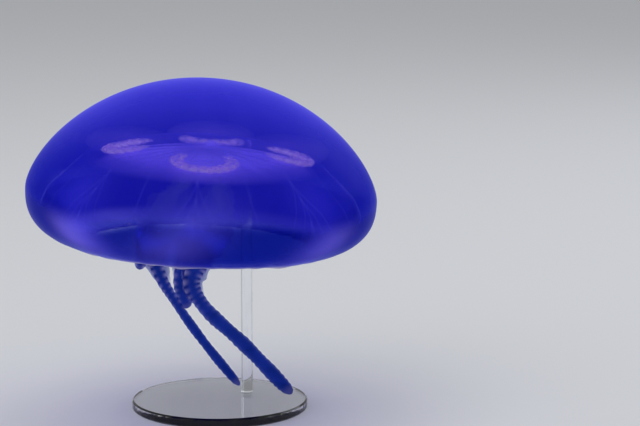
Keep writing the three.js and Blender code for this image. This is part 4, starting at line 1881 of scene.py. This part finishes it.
    def build(self, finishes: Finishes) -> None:
        """Makes one skin of the tube, the arms and their curtains.

        Args:
            finishes: the model's finishes.
        """
        parts, nodes = [BELL.leaned(self.tube.surface())], ["mouth"]
        for k, place in enumerate(ArmPlace):
            arm = place.value
            covered = 0.5 if arm.lengths > 2 else 0.8
            for part in [self.arm(arm), *(self.curtain(arm, side, covered, k + side) for side in (-1, 1))]:
                part.places = part.places + UP * BELL.widest_level
                parts.append(part)
            nodes += numbered(f"arm_{place.name.lower()}", arm.lengths)
        settle(Surface.joined(parts), "mouth_and_arms", finishes.arm, "arm_jelly", *nodes)


@dataclass(frozen=True)
class Fringe:
    """The fringe of hair-fine tentacles just inside the margin.

    Attributes:
        per_lappet: how many each lappet has.
        spread: the angle they take of it.
        reach: how long they are, and rise how far they curl up.
        lengths: the least and the most of that length, as shares.
        rises: the least and the most of that rise, as shares.
        sway: how far they bend aside.
        taper: how much thinner the tip is.
    """

    per_lappet: int = 34
    spread: float = math.radians(38)
    reach: float = 7.5
    rise: float = 1.9
    lengths: Pair = (0.75, 1.1)
    rises: Pair = (0.5, 1.3)
    sway: float = 0.9
    radius: float = 0.2
    taper: float = 0.72
    points: int = 9
    sides: int = 5

    def surface(self) -> Surface:
        """Each tentacle points inwards from the edge and curls up by a square of its share.

        It also bends aside by a sine of seeded size, and tapers to its tip.

        Returns:
            Every tentacle, in the bell's frame.
        """
        rng = np.random.default_rng(17)
        inside = (np.arange(self.per_lappet) + 0.5) / self.per_lappet - 0.5
        lappet = BELL.first_notch + (np.arange(BELL.lappets) + 0.5) * BELL.octant
        azimuth = (lappet[:, None] + inside[None, :] * self.spread).ravel()[:, None]
        count = len(azimuth)
        long = rng.uniform(*self.lengths, (count, 1)) * self.reach
        sway = rng.uniform(-1, 1, (count, 1)) * self.sway
        lifts = rng.uniform(*self.rises, (count, 1)) * self.rise
        t = np.linspace(0, 1, self.points)[None, :]
        low_middle = BELL.margin_thickness / 2 - BELL.margin_drop
        root = BELL.shaped(azimuth, np.array([[BELL.margin_radius]]), np.array([[low_middle]]))
        turn = azimuth + sway / 60 * np.sin(math.pi * t * 1.3)
        lift = lifts * t**2 - 0.35 * np.sin(math.pi * t)
        routes = root + around(turn, -(0.2 + long * t * (1 - 0.12 * t)), lift)
        size = self.radius * (1 - self.taper * t) * np.ones((count, 1))
        return tubes(round_tubes(routes, UP, size, size, self.sides))

    def build(self, finishes: Finishes) -> None:
        """Makes the tentacles as one piece and stands it for the combs."""
        made, combs = BELL.leaned(self.surface()), numbered("tentacle_comb", BELL.lappets)
        settle(made, "tentacle_fringe", finishes.fringe, "margin_jelly", *combs)


@dataclass(frozen=True)
class SenseOrgans:
    """A small club in each notch, with a dark eyespot.

    Attributes:
        fuller: how much fuller the outer end is.
        spot: where the eyespot lies along the club, its width and how dark it is.
    """

    reach: float = 62.6
    level: float = -27.1
    half_length: float = 1.7
    radius: float = 0.85
    fuller: float = 0.2
    spot: tuple[float, float, float] = (0.72, 0.2, 0.8)
    rings: int = 24
    sides: int = 20

    def surface(self) -> Surface:
        """Ovals along the margin's radius: the size is a half circle, fuller at the outer end.

        Returns:
            The clubs in the bell's frame, with the masks veil and crest.
        """
        azimuth = (BELL.first_notch + np.arange(BELL.lappets) * BELL.octant)[:, None]
        t = np.linspace(-0.995, 0.995, self.rings)[None, :]
        routes = around(azimuth, self.reach + self.half_length * t, self.level)
        full = 1 - self.fuller + self.fuller * t
        size = self.radius * np.sqrt(1 - t**2) * full * np.ones_like(azimuth)
        rings = round_tubes(routes, UP, size, size, self.sides)
        middle, width, dark = self.spot
        spot = dark * hump(t[..., None] - middle, width) * np.ones(rings.shape[:3])
        return tubes(rings, {"veil": np.ones(rings.shape[:3]), "crest": spot})

    def build(self, finishes: Finishes) -> None:
        """Makes the clubs as one piece and stands it for the organs."""
        made, organs = BELL.leaned(self.surface()), numbered("sense_organ", BELL.lappets)
        settle(made, "sense_clubs", finishes.organ, "sense_organ", *organs)


@dataclass(frozen=True)
class Stand:
    """The clear disc and rod, which keep their own shapes."""

    nodes: tuple[str, str] = ("stand_base", "stand_rod")

    def build(self, finishes: Finishes) -> None:
        """Gives the stand's nodes the acrylic finish.

        Args:
            finishes: the model's finishes.
        """
        for name in self.nodes:
            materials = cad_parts[name].data.materials
            materials.clear()
            materials.append(finishes.acrylic)
            log.info("%s: finished", name)


# ---------------------------------------------------------------- studio


@dataclass(frozen=True)
class Lamp:
    """A soft square light that looks at the bell."""

    name: str
    place: Place
    size: float
    power: float
    colour: Colour = (1.0, 1.0, 1.0)


@dataclass(frozen=True)
class Studio:
    """A plain pale floor, soft lights and the camera, in metres.

    Attributes:
        floor_gap: how far the floor lies under the stand.
        floor_gloss: the paint's roughness and specular level.
        sky: the even light of the room.
        aim: where the lamps look.
        clip: the nearest and farthest distance the camera sees.
        bounces: how often light may bounce, off matt and off glossy faces too.
        layers: how many clear layers light may pass.
    """

    floor_size: float = 40.0
    floor_gap: float = 0.0002
    floor_colour: Colour = (0.8, 0.81, 0.83)
    floor_gloss: Pair = (0.85, 0.15)
    sky: Colour = (0.43, 0.435, 0.45)
    aim: Place = (0.0, 0.0, 0.11)
    lens: float = 134.6
    sensor: float = 36.0
    clip: Pair = (0.01, 100.0)
    camera_place: Place = (0.06065, -1.2155, 0.3084)
    camera_tilt: float = math.radians(80.5)
    bounces: tuple[int, int, int] = (5, 2, 2)
    layers: int = 48
    lamps: tuple[Lamp, ...] = (
        Lamp("key_softbox", (-0.8, -1.0, 1.5), 1.4, 5.0),
        Lamp("overhead_softbox", (0.0, 0.2, 1.7), 1.8, 8.0),
        Lamp("rim_softbox", (1.2, 0.9, 0.8), 0.9, 3.0, (0.9, 0.93, 1.0)),
    )

    def floor(self) -> None:
        """Makes the floor, one flat square with a matt pale paint."""
        half = self.floor_size / 2
        mesh = bpy.data.meshes.new("floor")
        corners = [(x * half, y * half, -self.floor_gap) for x, y in ((-1, -1), (1, -1), (1, 1), (-1, 1))]
        mesh.from_pydata(corners, [], [(0, 1, 2, 3)])
        material = bpy.data.materials.new("floor_paint")
        material.use_nodes = True
        paint = next(n for n in material.node_tree.nodes if n.type == "BSDF_PRINCIPLED")
        paint.inputs["Base Color"].default_value = (*self.floor_colour, 1)
        for name, value in zip(("Roughness", "Specular IOR Level"), self.floor_gloss, strict=True):
            paint.inputs[name].default_value = value
        mesh.materials.append(material)
        made = bpy.data.objects.new("floor", mesh)
        bpy.context.scene.collection.objects.link(made)

    def light(self) -> None:
        """Makes the lamps and the even light of the room."""
        for lamp in self.lamps:
            data = bpy.data.lights.new(lamp.name, "AREA")
            data.size = lamp.size
            data.energy = lamp.power
            data.color = lamp.colour
            made = bpy.data.objects.new(lamp.name, data)
            made.location = lamp.place
            away = made.location - type(made.location)(self.aim)
            made.rotation_euler = away.to_track_quat("Z", "Y").to_euler()
            bpy.context.scene.collection.objects.link(made)
        world = bpy.data.worlds.new("room")
        world.use_nodes = True
        ground = next(n for n in world.node_tree.nodes if n.type == "BACKGROUND")
        ground.inputs["Color"].default_value = (*self.sky, 1)
        bpy.context.scene.world = world

    def camera(self) -> None:
        """Makes the camera, level and a little above the bell."""
        data = bpy.data.cameras.new("camera")
        data.lens = self.lens
        data.sensor_width = self.sensor
        data.clip_start, data.clip_end = self.clip
        made = bpy.data.objects.new("camera", data)
        made.location = self.camera_place
        made.rotation_euler = (self.camera_tilt, 0, 0)
        bpy.context.scene.collection.objects.link(made)
        bpy.context.scene.camera = made

    def settings(self) -> None:
        """Keeps colours as they are and lets light through many thin layers."""
        scene = bpy.context.scene
        scene.view_settings.view_transform = "Standard"
        scene.view_settings.look = "None"
        cycles = scene.cycles
        cycles.max_bounces, cycles.diffuse_bounces, cycles.glossy_bounces = self.bounces
        cycles.transparent_max_bounces = self.layers

    def build(self) -> None:
        """Makes the whole studio."""
        for part in (self.camera, self.floor, self.light, self.settings):
            part()
        log.info("studio: %d lamps", len(self.lamps))


# ---------------------------------------------------------------- the whole model


def main() -> None:
    """Builds every piece in order."""
    logging.basicConfig(level=logging.INFO, format="%(name)s %(message)s")
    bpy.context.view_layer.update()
    Studio().build()
    finishes = Finishes()
    dome = (Bell(), Canals(), Stomach(), GastricPouches(), Gonads())
    for part in (*dome, MouthAndArms(), Fringe(), SenseOrgans(), Stand()):
        part.build(finishes)


if __name__ == "__main__":
    main()
